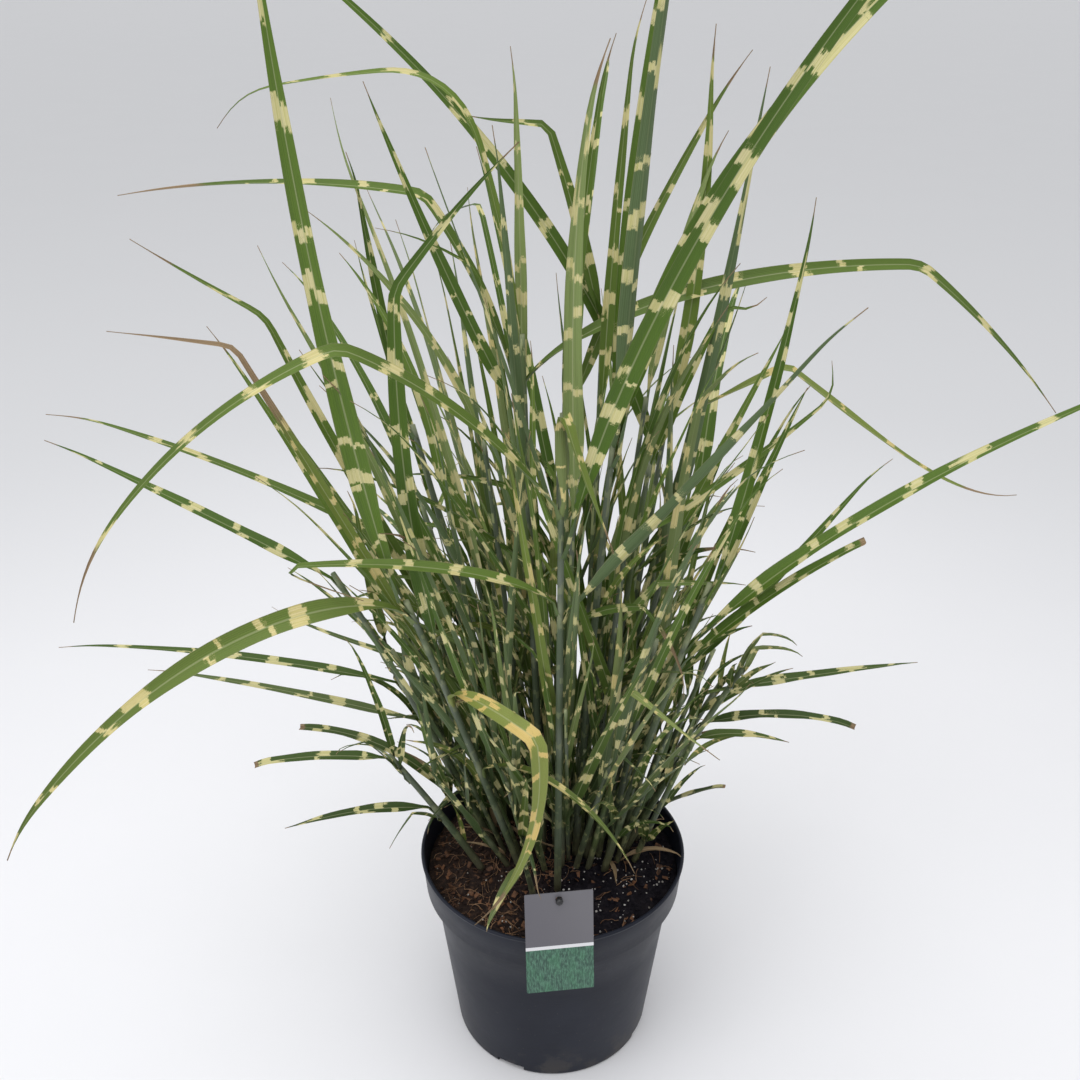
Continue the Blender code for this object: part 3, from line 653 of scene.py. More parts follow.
def stem_finish():
    """Grey-green sheaths with a waxy bloom, fine fibres, faint bands, pale collars and brown feet."""
    f = Finish("leaf sheath")
    around, along, seed, _, collar, banding = plant_facts(f)
    angle = f.calc("MULTIPLY", around, math.tau)
    fibre_place = f.vector(
        f.calc("MULTIPLY", f.calc("COSINE", angle), 4.0), f.calc("MULTIPLY", f.calc("SINE", angle), 4.0),
        f.calc("MULTIPLY_ADD", along, 16.0, f.calc("MULTIPLY", seed, 50.0)),
    )
    fibre = f.cloud(fibre_place, 1.6, 4.0, 0.65)
    bloom = f.cloud(f.calc("MULTIPLY_ADD", seed, 31.0, along), 16.0, 2.0, 0.5, "1D")
    green = f.blend(f.step(seed, 0.2, 0.9), (0.080, 0.110, 0.062), (0.120, 0.170, 0.055))
    green = f.blend(f.step(bloom, 0.4, 0.7), green, (0.130, 0.155, 0.115))
    green = f.blend(f.calc("MULTIPLY", f.step(fibre, 0.45, 0.75), 0.5), green, (0.050, 0.068, 0.036))
    across = f.calc("FRACT", f.calc("MULTIPLY", around, 2.0))
    bands = f.calc("MULTIPLY", band_mask(f, across, along, seed, STEM_BAND_GAP), banding)
    colour = f.blend(bands, green, (0.400, 0.430, 0.200))
    # painted shade: each stem is darker green over its lowest 0.22 m, where the clump shades its own foot
    colour = f.blend(f.calc("MULTIPLY", f.step(along, 0.22, 0.02), 0.5), colour, (0.034, 0.048, 0.016))
    low = f.step(along, 0.055, 0.0)
    colour = f.blend(f.calc("MULTIPLY", low, 0.55), colour, (0.100, 0.078, 0.044))
    colour = f.blend(f.calc("MULTIPLY", collar, 0.7), colour, (0.300, 0.330, 0.190))
    f.bump(fibre, 0.45, 0.0005)
    rough = f.calc("MULTIPLY_ADD", fibre, 0.20, 0.42)
    return f.finish(colour, rough, specular=0.40)


def pot_finish():
    """Black plastic, faintly scuffed round, with dust, stuck crumbs and splashes at its foot."""
    f = Finish("black pot plastic")
    place = f.place()
    mottle = f.cloud(place, 38.0, 5.0, 0.65)
    dust = f.cloud(place, 9.0, 4.0, 0.6)
    x, y, height = f.parts(place)
    colour = f.blend(f.step(dust, 0.35, 0.75), (0.011, 0.013, 0.021), (0.020, 0.023, 0.034))
    splash = f.calc("MULTIPLY", f.step(height, 0.05, 0.0), f.step(mottle, 0.48, 0.62))
    colour = f.blend(f.calc("MULTIPLY", splash, 0.5), colour, (0.070, 0.062, 0.055))
    crumbs = f.calc("MULTIPLY", f.step(f.cloud(place, 420.0, 2.0), 0.70, 0.76), 0.35)
    colour = f.blend(crumbs, colour, (0.10, 0.085, 0.07))
    scuff = f.cloud(f.scaled((x, 60.0), (y, 60.0), (height, 700.0)), 1.0, 3.0, 0.6)
    f.bump(f.calc("MULTIPLY_ADD", scuff, 0.4, mottle), 0.18, 0.0006)
    rough = f.calc("ADD", f.calc("MULTIPLY", mottle, 0.16), f.calc("MULTIPLY_ADD", scuff, 0.08, 0.28))
    return f.finish(colour, rough, specular=0.14)


def soil_finish():
    """Dark crumbly compost, browner on the left, where more bark lies on it."""
    f = Finish("compost")
    place = f.place()
    crumb = f.cloud(place, 260.0, 6.0, 0.7)
    clod = f.cloud(place, 60.0, 3.0, 0.6)
    left = f.step(f.parts(place)[0], 0.03, -0.07)
    dark = f.blend(left, (0.004, 0.003, 0.006), (0.021, 0.013, 0.011))
    light = f.blend(left, (0.022, 0.018, 0.023), (0.080, 0.046, 0.030))
    colour = f.blend(f.step(crumb, 0.45, 0.72), dark, light)
    colour = f.blend(f.calc("MULTIPLY", f.step(clod, 0.55, 0.7), 0.5), colour, (0.014, 0.009, 0.010))
    f.bump(f.calc("MULTIPLY_ADD", crumb, 0.7, clod), 0.9, 0.003)
    return f.finish(colour, f.calc("MULTIPLY_ADD", crumb, 0.3, 0.6), specular=0.15)


def bits_finish(name, dark, light, scale=300.0):
    """Bark, fibre or grit: two colours mixed by grain, and shifted from bit to bit."""
    f = Finish(name)
    place = f.place()
    grain = f.cloud(place, scale, 4.0, 0.65)
    drift = f.cloud(place, 45.0, 2.0)
    shade = f.calc("MULTIPLY_ADD", drift, 0.8, f.calc("MULTIPLY", grain, 0.5))
    colour = f.blend(f.step(shade, 0.45, 0.85), dark, light)
    f.bump(grain, 0.6, 0.0006)
    return f.finish(colour, f.calc("MULTIPLY_ADD", grain, 0.2, 0.6), specular=0.35)


GRASS_PRINT_TOP = 0.435       # shares of the label's height where its grass print and white bar end
WHITE_BAR_TOP = 0.468


def card_finish():
    """Grey above with a painted sheen, a thin white bar, and a green grass print below."""
    f = Finish("printed plant label")
    place = f.add("ShaderNodeUVMap", uv_map="card").outputs[0]
    across, up, _ = f.parts(place)
    # painted sheen: the grey is lighter towards the card's top right corner
    sheen = f.step(f.calc("ADD", across, up), 0.6, 1.9)
    grey = f.blend(sheen, (0.112, 0.108, 0.124), (0.140, 0.136, 0.150))
    tuft = f.cloud(f.scaled((across, 26.0), (up, 11.0)), 1.6, 5.0, 0.7)
    haze = f.cloud(place, 5.0, 2.0)
    grass = f.blend(f.step(tuft, 0.38, 0.66), (0.016, 0.052, 0.038), (0.085, 0.205, 0.135))
    grass = f.blend(f.calc("MULTIPLY", f.step(haze, 0.4, 0.7), 0.35), grass, (0.060, 0.230, 0.110))
    lower = f.calc("LESS_THAN", up, GRASS_PRINT_TOP)
    below_top = f.calc("LESS_THAN", up, WHITE_BAR_TOP)
    bar = f.calc("MULTIPLY", f.calc("GREATER_THAN", up, GRASS_PRINT_TOP), below_top)
    colour = f.blend(lower, grey, grass)
    colour = f.blend(bar, colour, (0.700, 0.700, 0.720))
    scratch = f.cloud(f.scaled((across, 4.0), (up, 60.0)), 1.0, 3.0)
    f.bump(scratch, 0.05, 0.0003)
    return f.finish(colour, f.calc("MULTIPLY_ADD", scratch, 0.12, 0.26), specular=0.5)


def peg_finish():
    f = Finish("black peg plastic")
    place = f.place()
    mottle = f.cloud(place, 500.0, 3.0)
    colour = f.blend(mottle, (0.008, 0.008, 0.009), (0.020, 0.020, 0.022))
    f.bump(mottle, 0.1, 0.0002)
    return f.finish(colour, f.calc("MULTIPLY_ADD", mottle, 0.2, 0.22), specular=0.5)


def floor_finish():
    f = Finish("pale floor")
    place = f.place()
    mottle = f.cloud(place, 3.0, 4.0)
    fine = f.cloud(place, 90.0, 3.0)
    x, y, _ = f.parts(place)
    reach = f.calc("SQRT", f.calc("ADD", f.calc("MULTIPLY", x, x), f.calc("MULTIPLY", y, y)))
    colour = f.blend(mottle, (0.80, 0.80, 0.82), (0.84, 0.84, 0.86))
    # painted shade: the floor turns greyer further from the pot, standing in for the dimmer wall behind it
    colour = f.blend(f.step(reach, 0.35, 1.8), colour, (0.66, 0.665, 0.68))
    f.bump(fine, 0.04, 0.001)
    return f.finish(colour, f.calc("MULTIPLY_ADD", mottle, 0.1, 0.5), specular=0.3)


# ---------------------------------------------------------------- the plant's pieces

def grown_stem(culm, steps=34):
    """A culm's centre line."""
    return stem_path(culm.x, culm.y, culm.compass, culm.climb, culm.nod, culm.length, steps)


SHEATH_SWELL = 0.10


def stem_radii(points, foot, top, departures):
    """Radius along a stem: it swells up to each leaf, and steps in above it, where the sheath ends."""
    count = len(points) - 1
    radii = []
    for i in range(count + 1):
        share = i / count
        below = [d for d in departures if d >= share]
        above = [d for d in departures if d < share]
        low = max(above, default=0.0)
        high = min(below, default=1.0)
        fill = (share - low) / max(high - low, 0.01) if below else 0.0
        radii.append(mixed(foot, top, share) * (1.0 + SHEATH_SWELL * fill))
    return radii


def make_main_stems(stem_look):
    """One stem for each of the CAD model's culms, as {name: centre line}."""
    stems = {culm.name: grown_stem(culm) for culm in CULMS}
    for culm in CULMS:
        chance = random.Random(culm.name)
        own = sorted(blade.height for blade in BLADES if blade.culm == culm.name)
        points = stems[culm.name]
        radii = stem_radii(points, CULM_FOOT_RADIUS, CULM_TOP_RADIUS, own)
        shape = new_shape()
        collars = [height * culm.length for height in own]
        add_stem(shape, points, radii, chance.random() * 0.5, banding=0.25, collars=collars)
        closed(shape)
        if culm.name in SHOWN:
            shown_points.extend(points[2:])
        piece(culm.name.replace("culm", "stem"), shape, stem_look, [culm.name])
    return stems


def make_main_leaves(stems, blade_look):
    """One leaf for each of the CAD model's blades: it follows that blade's line, and is thinner."""
    for blade in BLADES:
        chance = random.Random(blade.name)
        points = stems[blade.culm]
        side = heading(blade.compass, 0.0)
        radius = mixed(CULM_FOOT_RADIUS, CULM_TOP_RADIUS, blade.height)
        clearance = radius * CULM_NODE_SWELL + GAP + 0.5 * blade.width * FOOT_WIDTH
        start = point_along(points, blade.height) + side * clearance
        length = next(culm.length for culm in CULMS if culm.name == blade.culm)
        foot = point_along(points, blade.height - SHEATH_LENGTH / length) + side * radius * 1.05
        steps = max(18, round(blade.length / 0.008))
        rows = blade_rows(start, blade, steps, chance, foot, wander=0.6, blunt=blade.name in CUT_OFF)
        if blade.name in SHOWN:
            shown_points.extend(row.spot for row in rows)
        dry_tip, yellow = DRY_TIPS.get(blade.name, (0.05, 0.0))
        seed = (chance.randrange(5) + chance.uniform(0.0, 0.7)) / PALER_LEAVES
        shape = new_shape()
        add_blade(shape, rows, seed, dry_tip, yellow)
        closed(shape)
        piece(blade.name.replace("blade", "leaf"), shape, blade_look, [blade.name])


# a small leaf's growth, in the words of Blade
Grow = namedtuple(
    "Grow", "compass rise fall length width bend turn fold_at fold_by roll twist span drop",
    defaults=(FOLD_SPAN, None),
)

CROWN = Vector((0.008, 0.030, 0.0))          # middle of the ellipse that the stems stand in
CROWN_ACROSS = 0.066
CROWN_DEEP = 0.054
SHOOTS = 56
SHOOT_SPACING = 0.0075
GOLDEN_ANGLE = 137.508
LOW_LEAVES = 220
DEAD_SHEATHS = 20
FRONT = Vector((-0.011, -0.788, 0.884))      # where the clump is looked at from
SHOWN = ("culm_01", "culm_02", "blade_07", "blade_02")    # stems and leaves that nothing small may cover
SHOWN_NEARER = 0.004          # what is this much nearer and within this angle, in radians, covers them
SHOWN_ANGLE = 0.0085
shown_points = []             # points along them, added as they are made
ROOM = 0.012                  # how far outside the CAD model's box a leaf may reach
FUNNEL_LEVEL = 0.33           # small leaves fill a funnel, whose sides lean out around this height
FUNNEL_LEFT = (0.100, 0.46, 0.185)           # its reach at that height, its lean and its greatest reach
FUNNEL_RIGHT = (0.092, 0.30, 0.138)
LABEL_ROOM = (0.27, -0.096)   # below this height a small leaf stays behind this y, clear of the label
RIM_ROOM = (0.205, 0.100)     # below this height it stays within this radius, clear of the rim


def inside(rows):
    """True if a leaf stays in the CAD model's box, give or take the room."""
    low, high = CAD_BOX
    return all(
        low[axis] - ROOM < row.spot[axis] < high[axis] + ROOM for row in rows for axis in range(3)
    )


def covers_shown(rows):
    """True if a small leaf would lie in front of one of the stems and leaves that show."""
    for spot in shown_points:
        sight = spot - FRONT
        for row in rows:
            near = row.spot - FRONT
            if near.length < sight.length - SHOWN_NEARER and near.angle(sight) < SHOWN_ANGLE:
                return True
    return False


def funnel_reach(height, level_reach, lean, greatest):
    """How far to one side of the crown the small leaves go at a height."""
    return min(level_reach + lean * (height - FUNNEL_LEVEL), greatest)


def in_clump(rows, spare=0.0):
    """True if a leaf stays within the funnel that the small leaves fill, and clear of the front stems."""
    for row in rows:
        x, y, height = row.spot
        left = CROWN.x - funnel_reach(height, *FUNNEL_LEFT) - spare
        right = CROWN.x + funnel_reach(height, *FUNNEL_RIGHT) + spare
        if not left < x < right or height < SOIL_TOP + 0.012:
            return False
        if height < LABEL_ROOM[0] and y < LABEL_ROOM[1]:
            return False
        if height < RIM_ROOM[0] and row.spot.xy.length > RIM_ROOM[1]:
            return False
    return inside(rows) and not covers_shown(rows)


def make_side_shoots(blade_look, stem_look):
    """The thinner shoots of the table, each a stem with the leaves at its top."""
    stems = new_shape()
    leaves = new_shape()
    for culm in SIDE_CULMS:
        chance = random.Random(culm.name)
        points = grown_stem(culm)
        own = [blade for blade in SIDE_BLADES if blade.culm == culm.name]
        foot_radius = chance.uniform(0.0026, 0.0033)
        top_radius = foot_radius * 0.62
        radii = stem_radii(points, foot_radius, top_radius, [blade.height for blade in own])
        add_stem(stems, points, radii, chance.random(), banding=0.7, collars=[culm.length])
        for blade in own:
            side = heading(blade.compass, 0.0)
            start = point_along(points, blade.height) + side * top_radius * 0.8
            foot = point_along(points, blade.height - SHEATH_LENGTH / culm.length) + side * top_radius
            steps = max(18, round(blade.length / 0.009))
            rows = blade_rows(start, blade, steps, chance, foot, wander=0.6, blunt=culm.name in CUT_OFF)
            add_blade(leaves, rows, chance.random(), chance.uniform(0.04, 0.14), chance.uniform(0.0, 0.15))
    closed(stems)
    closed(leaves)
    piece("side_shoots", stems, stem_look)
    piece("side_leaves", leaves, blade_look)


def crown_spot(reach, angle):
    """A place in the crown's ellipse, at a share of the way out and an angle in radians."""
    x = CROWN.x + CROWN_ACROSS * reach * math.cos(angle)
    y = CROWN.y + CROWN_DEEP * reach * math.sin(angle)
    return x, y


def free_foot(i, feet, chance):
    """A place for the next small shoot, clear of the others if one is found in a few tries."""
    for _ in range(30):
        angle = math.radians(GOLDEN_ANGLE * i + chance.uniform(-14, 14))
        reach = min(math.sqrt((i + 0.5) / SHOOTS) * chance.uniform(0.92, 1.06), 1.0)
        spot = crown_spot(reach, angle)
        if all((foot - Vector(spot)).length > SHOOT_SPACING for foot in feet):
            break
    feet.append(Vector(spot))
    return spot, reach, angle


def small_leaf_growth(lean, compass, plane, reach, k, last, chance):
    """How the leaf k of a small shoot grows: left and right by turns, in a plane through the stem."""
    spread = math.radians(chance.uniform(2, 8) if last else chance.uniform(6, 26))
    away = plane + (180 if k % 2 else 0) + chance.uniform(-18, 18)
    axis = heading(compass, 90 - lean) * math.cos(spread) + heading(away, 0.0) * math.sin(spread)
    axis.normalize()
    rise = math.degrees(math.asin(max(min(axis.z, 1.0), -1.0)))
    course = math.degrees(math.atan2(axis.y, axis.x))
    size = chance.uniform(0.14, 0.31) + 0.14 * (1 - reach) + (0.05 if last else 0.0)
    sag = chance.uniform(0, 16) if chance.random() < 0.75 else chance.uniform(18, 46)
    fold = chance.random() < 0.10
    facing = 90.0 - course if abs(math.cos(math.radians(course))) > 0.4 else 0.0
    return Grow(
        compass=course, rise=rise, fall=max(rise - sag, 30.0), length=size,
        width=chance.uniform(0.0060, 0.0118), bend=chance.uniform(0.9, 2.2), turn=chance.uniform(-10, 10),
        fold_at=chance.uniform(0.45, 0.8), fold_by=chance.uniform(25, 80) if fold else 0,
        roll=chance.choice((facing, facing, facing - 180.0, 0.0)) + chance.uniform(-35, 35),
        twist=chance.uniform(-30, 30),
    )


def small_leaf_rows(start, foot, grow, spare, chance):
    """The rows of a small leaf, made shorter and steeper until it stays in the clump, or None."""
    for _ in range(9):
        rows = blade_rows(start, grow, max(14, round(grow.length / 0.012)), chance, foot)
        if in_clump(rows, spare):
            break
        if covers_shown(rows):
            grow = grow._replace(compass=grow.compass + chance.choice((-30, 30)))
        fall = min(grow.fall + 4, 88)
        grow = grow._replace(length=grow.length * 0.90, rise=min(grow.rise + 2, 88), fall=fall)
    right = rows[-1].spot.x > CROWN.x + 0.03
    if covers_shown(rows) or (right and chance.random() < 0.30):
        return None
    return rows


def clump_side(course):
    """Which of the three joined pieces a small leaf that heads that way belongs to."""
    course %= 360
    if 120 < course < 260:
        return "left"
    return "right" if course < 60 or course > 280 else "back"


def make_small_shoots(blade_look, stem_look):
    """The filling of the clump: thin stems round the crown, with leaves all the way up."""
    chance = random.Random(41)
    feet = [Vector((culm.x, culm.y)) for culm in CULMS + SIDE_CULMS]
    stems = new_shape()
    leaves = {}
    for i in range(SHOOTS):
        spot, reach, angle = free_foot(i, feet, chance)
        outward = math.degrees(math.atan2(math.sin(angle) * 0.75, math.cos(angle)))
        compass = outward + chance.uniform(-25, 25)
        lean = 2.0 + (16.5 - 7.5 * math.cos(angle)) * reach ** 1.3 + chance.uniform(-3, 4)
        length = chance.uniform(0.12, 0.34) * (1.0 - 0.30 * reach)
        foot_radius = chance.uniform(0.0022, 0.0034)
        top_radius = foot_radius * 0.6
        nod = chance.uniform(0, 5)
        points = stem_path(*spot, compass, 90 - lean, nod, length, 16, foot_radius, sink=0.004)
        count = chance.choice((3, 3, 4, 5))
        heights = [mixed(0.34, 1.0, k / (count - 1)) for k in range(count)]
        radii = stem_radii(points, foot_radius, top_radius, heights)
        seed = chance.random()
        add_stem(stems, points, radii, seed, banding=0.8, collars=[h * length for h in heights])
        plane = compass + chance.uniform(-40, 40)
        for k, height in enumerate(heights):
            grow = small_leaf_growth(lean, compass, plane, reach, k, k == count - 1, chance)
            radius = mixed(foot_radius, top_radius, height)
            side = heading(grow.compass, 0.0)
            start = point_along(points, height) + side * (radius * 1.1 + 0.0010)
            foot = point_along(points, height - 0.010 / length) + side * radius * 0.9
            spare = 0.06 if chance.random() < 0.12 else 0.0
            rows = small_leaf_rows(start, foot, grow, spare, chance)
            if rows is None:
                continue
            group = clump_side(grow.compass)
            if group not in leaves:
                leaves[group] = new_shape()
            seed = chance.random()
            dry_tip = chance.uniform(0.01, 0.08)
            add_blade(leaves[group], rows, seed, dry_tip, yellow=chance.random() ** 5 * 0.5)
    closed(stems)
    piece("small_shoots", stems, stem_look)
    for group, shape in leaves.items():
        closed(shape)
        piece(f"small_leaves_{group}", shape, blade_look)


def make_low_leaves(blade_look):
    """Short narrow leaves, closely banded, that cross one another low in the clump."""
    chance = random.Random(97)
    shape = new_shape()
    stems = [(culm, grown_stem(culm)) for culm in CULMS + SIDE_CULMS]
    for i in range(LOW_LEAVES):
        culm, points = stems[i % len(stems)]
        level = SOIL_TOP + 0.02 + 0.27 * chance.random() ** 1.5
        height = next((k / (len(points) - 1) for k, at in enumerate(points) if at.z > level), 0.9)
        around = math.degrees(math.atan2(culm.y - CROWN.y, culm.x - CROWN.x))
        compass = around + chance.uniform(-80, 80)
        rise = chance.uniform(38, 84)
        bow = chance.choice((6, 20, 34, 60)) * chance.uniform(0.5, 1.2)
        grow = Grow(
            compass=compass, rise=rise, fall=rise - bow,
            length=chance.uniform(0.08, 0.22), width=chance.uniform(0.0046, 0.0082),
            bend=chance.uniform(0.8, 2.0), turn=chance.uniform(-14, 14), fold_at=chance.uniform(0.4, 0.8),
            fold_by=chance.choice((0, 0, 0, 50)), roll=90.0 - compass + chance.uniform(-50, 50),
            twist=chance.uniform(-40, 40),
        )
        side = heading(compass, 0.0)
        start = point_along(points, height) + side * 0.0034
        for _ in range(7):
            rows = blade_rows(start, grow, max(12, round(grow.length / 0.011)), chance)
            if in_clump(rows, 0.012):
                break
            turn = chance.uniform(-40, 40) if covers_shown(rows) else 0.0
            grow = grow._replace(compass=grow.compass + turn, length=grow.length * 0.9)
            grow = grow._replace(rise=min(grow.rise + 3, 88))
        if covers_shown(rows):
            continue
        dry_tip = chance.uniform(0.3, 0.7) if chance.random() < 0.07 else chance.uniform(0.02, 0.12)
        seed = chance.random()
        yellow = chance.random() ** 4 * 0.6
        add_blade(shape, rows, seed, dry_tip, yellow, pace=chance.uniform(1.5, 2.3))
    closed(shape)
    piece("low_leaves", shape, blade_look)


def make_dead_sheaths(blade_look):
    """Dry strips of old leaf that curl round the foot of the clump."""
    chance = random.Random(7)
    shape = new_shape()
    for _ in range(DEAD_SHEATHS):
        angle = chance.uniform(0, math.tau)
        reach = math.sqrt(chance.uniform(0.2, 1.15))
        start = Vector((*crown_spot(reach, angle), SOIL_TOP + chance.uniform(0.001, 0.02)))
        compass = math.degrees(angle) + chance.uniform(-70, 70)
        grow = Grow(
            compass=compass, rise=chance.uniform(10, 75), fall=chance.uniform(-30, 20),
            length=chance.uniform(0.02, 0.06), width=chance.uniform(0.003, 0.006), bend=0.8,
            turn=chance.uniform(-90, 90), fold_at=0.5, fold_by=0, roll=chance.uniform(-60, 60), twist=60,
        )
        rows = blade_rows(start, grow, 9, chance)
        lowest = min(row.spot.z for row in rows)
        if lowest < SOIL_TOP + 0.002:
            lift = SOIL_TOP + 0.002 - lowest
            rows = [row._replace(spot=row.spot + Vector((0, 0, lift))) for row in rows]
        add_blade(shape, rows, chance.random(), dry_tip=1.9, yellow=0.5, banding=0.0)
    closed(shape)
    piece("dead_sheaths", shape, blade_look)


# ---------------------------------------------------------------- pot

POT_STEPS = 128


def wall_radius(height):
    """Outer radius of the tapering wall at a height."""
    share = height / (POT_HEIGHT - BAND_HEIGHT)
    return BASE_RADIUS + (WALL_TOP_RADIUS - BASE_RADIUS) * share


def arc(centre, radius, start, end, count):
    """Points of an arc, angles in degrees."""
    return [
        (centre[0] + radius * math.cos(math.radians(mixed(start, end, i / count))),
         centre[1] + radius * math.sin(math.radians(mixed(start, end, i / count))))
        for i in range(count + 1)
    ]


def spun(outline, steps):
    """A closed turned shape from (radius, height) points that start and end on the axis."""
    shape = bmesh.new()
    verts = [shape.verts.new((radius, 0.0, height)) for radius, height in outline]
    edges = [shape.edges.new(pair) for pair in zip(verts, verts[1:])]
    bmesh.ops.spin(
        shape, geom=verts + edges, cent=(0, 0, 0), axis=(0, 0, 1), angle=math.tau, steps=steps,
        use_merge=True,
    )
    bmesh.ops.remove_doubles(shape, verts=shape.verts[:], dist=1e-5)
    bmesh.ops.recalc_face_normals(shape, faces=shape.faces[:])
    return shape


def pot_outline():
    """Half of the pot's section, from the middle of its floor up the inside and down the outside."""
    band_foot = POT_HEIGHT - BAND_HEIGHT
    lip_centre = (RIM_RADIUS - LIP_RADIUS, POT_HEIGHT - LIP_RADIUS)
    ease = 0.0007             # how far a sharp corner of the moulding is cut back
    inner_floor = [
        (0.0, FLOOR), (BASE_RADIUS - DRAIN_DEPTH, FLOOR), (wall_radius(FLOOR) - WALL - ease, FLOOR),
    ]
    inner_wall = [
        (wall_radius(FLOOR + ease) - WALL, FLOOR + ease), (wall_radius(DRAIN_HEIGHT) - WALL, DRAIN_HEIGHT),
        (WALL_TOP_RADIUS - WALL, band_foot), (BAND_FOOT_RADIUS - WALL, band_foot + 2 * WALL),
        (RIM_RADIUS - 2 * LIP_RADIUS - 0.0006, POT_HEIGHT - 3 * LIP_RADIUS),
    ]
    lip = arc(lip_centre, LIP_RADIUS, 180.0, -20.0, 9)
    outer_band = [
        (RIM_RADIUS - 0.0011, POT_HEIGHT - 0.0036), (RIM_RADIUS - 0.0012, POT_HEIGHT - 0.0046),
        (BAND_FOOT_RADIUS + 0.0001, band_foot + ease), (BAND_FOOT_RADIUS - ease, band_foot),
        (WALL_TOP_RADIUS + ease, band_foot), (WALL_TOP_RADIUS, band_foot - ease),
    ]
    outer_wall = [
        (wall_radius(0.110), 0.110), (wall_radius(0.060), 0.060), (wall_radius(DRAIN_HEIGHT), DRAIN_HEIGHT),
    ]
    corner = arc((wall_radius(BASE_CORNER) - BASE_CORNER, BASE_CORNER), BASE_CORNER, 0.0, -90.0, 4)
    return inner_floor + inner_wall + lip + outer_band + outer_wall + corner + [
        (BASE_RADIUS - DRAIN_DEPTH, 0.0), (0.0, 0.0)]


def open_drains(shape):
    """Cuts the drain notches out of the bottom corner, and closes the wall round each."""
    half = math.degrees(DRAIN_WIDTH / 2 / BASE_RADIUS)
    for i in range(DRAIN_COUNT):
        middle = DRAIN_COMPASS + 360.0 * i / DRAIN_COUNT
        cut = []
        for face in shape.faces:
            centre = face.calc_center_median()
            reach = math.hypot(centre.x, centre.y)
            off = (math.degrees(math.atan2(centre.y, centre.x)) - middle + 180.0) % 360.0 - 180.0
            if abs(off) < half and centre.z < DRAIN_HEIGHT and reach > BASE_RADIUS - DRAIN_DEPTH:
                cut.append(face)
        bmesh.ops.delete(shape, geom=cut, context="FACES")
        rims = [edge for edge in shape.edges if edge.is_boundary]
        bmesh.ops.bridge_loops(shape, edges=rims)
    bmesh.ops.recalc_face_normals(shape, faces=shape.faces[:])


def make_pot():
    """The pot: turned, with its drain notches cut, and smooth but for its sharp edges."""
    shape = spun(pot_outline(), POT_STEPS)
    open_drains(shape)
    for face in shape.faces:
        face.smooth = True
    for edge in shape.edges:
        if len(edge.link_faces) == 2 and edge.calc_face_angle(0.0) > math.radians(50):
            edge.smooth = False
    piece("nursery_pot", shape, pot_finish(), ["pot"])


# ---------------------------------------------------------------- soil and what lies on it

BARK_CHIPS = 430
FIBRES = 260
STRAND_AROUND = 5
GRAINS = 330
CRUMBS = 900


def soil_height(x, y):
    """Height of the loose surface: clods, a slight mound at the crown, and a dip at the wall."""
    place = Vector((x, y, 0.0))
    reach = math.hypot(x, y) / (BAND_FOOT_RADIUS - WALL)
    clods = noise.noise(place * 70.0) * 0.0022 + noise.noise(place * 190.0 + Vector((5, 0, 0))) * 0.0016
    crumbs = noise.noise(place * 480.0 + Vector((0, 9, 0))) * 0.0009
    mound = 0.004 * (1.0 - eased(reach * 1.2)) - 0.0035 * eased((reach - 0.86) / 0.14)
    return SOIL_TOP - 0.0004 + clods + crumbs + mound


def make_soil():
    """The compost: turned to fill the pot, with its top roughened."""
    band_foot = POT_HEIGHT - BAND_HEIGHT
    foot = FLOOR + GAP
    top_radius = BAND_FOOT_RADIUS - WALL - GAP
    rings = 64
    outline = [(top_radius * i / rings, SOIL_TOP) for i in range(rings + 1)]
    outline += [
        (top_radius, band_foot + 2 * WALL + GAP), (WALL_TOP_RADIUS - WALL - GAP, band_foot),
        (wall_radius(foot) - WALL - 3 * GAP, foot), (0.0, foot),
    ]
    shape = spun(outline, 180)
    for vert in shape.verts:
        if vert.co.z > SOIL_TOP - 1e-5:
            vert.co.z = soil_height(vert.co.x, vert.co.y)
    for face in shape.faces:
        face.smooth = True
    piece("compost", shape, soil_finish(), ["soil"])


def soil_spot(chance, inner=0.0, side=0):
    """A place on the compost; side -1 puts most to the left, 1 to the right."""
    while True:
        angle = chance.uniform(0, math.tau)
        reach = math.sqrt(chance.uniform(inner ** 2, 1.0)) * (BAND_FOOT_RADIUS - WALL - 0.004)
        x, y = reach * math.cos(angle), reach * math.sin(angle)
        if side * x >= 0 or chance.random() < 0.25:
            return Vector((x, y, soil_height(x, y)))


def strew(shape, made, spot, turn, lift):
    """Turns a bit that was made at the origin and lays it on the compost."""
    place = Matrix.Translation(spot + Vector((0, 0, lift)))
    bmesh.ops.transform(shape, matrix=place @ turn, verts=made)


def make_bark(chance):
    """Chips of bark: small bevelled slabs, bent and tipped."""
    shape = bmesh.new()
    for _ in range(BARK_CHIPS):
        spot = soil_spot(chance, side=-1)
        made = bmesh.ops.create_cube(shape, size=1.0)["verts"]
        size = chance.uniform(0.002, 0.0055) * (1.6 if chance.random() < 0.08 else 1.0)
        bmesh.ops.scale(
            shape, vec=(size, size * chance.uniform(0.3, 0.7), size * chance.uniform(0.12, 0.3)), verts=made
        )
        for vert in made:
            vert.co += Vector([chance.uniform(-0.16, 0.16) * size for _ in range(3)])
        round_up = Matrix.Rotation(chance.uniform(0, math.tau), 4, "Z")
        tip_over = Matrix.Rotation(chance.uniform(-0.7, 0.7), 4, "X")
        tip_along = Matrix.Rotation(chance.uniform(-0.7, 0.7), 4, "Y")
        strew(shape, made, spot, round_up @ tip_over @ tip_along, size * 0.12)
    bmesh.ops.bevel(
        shape, geom=shape.edges[:], offset=0.00022, affect="EDGES", segments=1, profile=0.5, material=-1
    )
    look = bits_finish("bark", (0.030, 0.014, 0.008), (0.190, 0.085, 0.040))
    piece("bark_chips", shape, look)


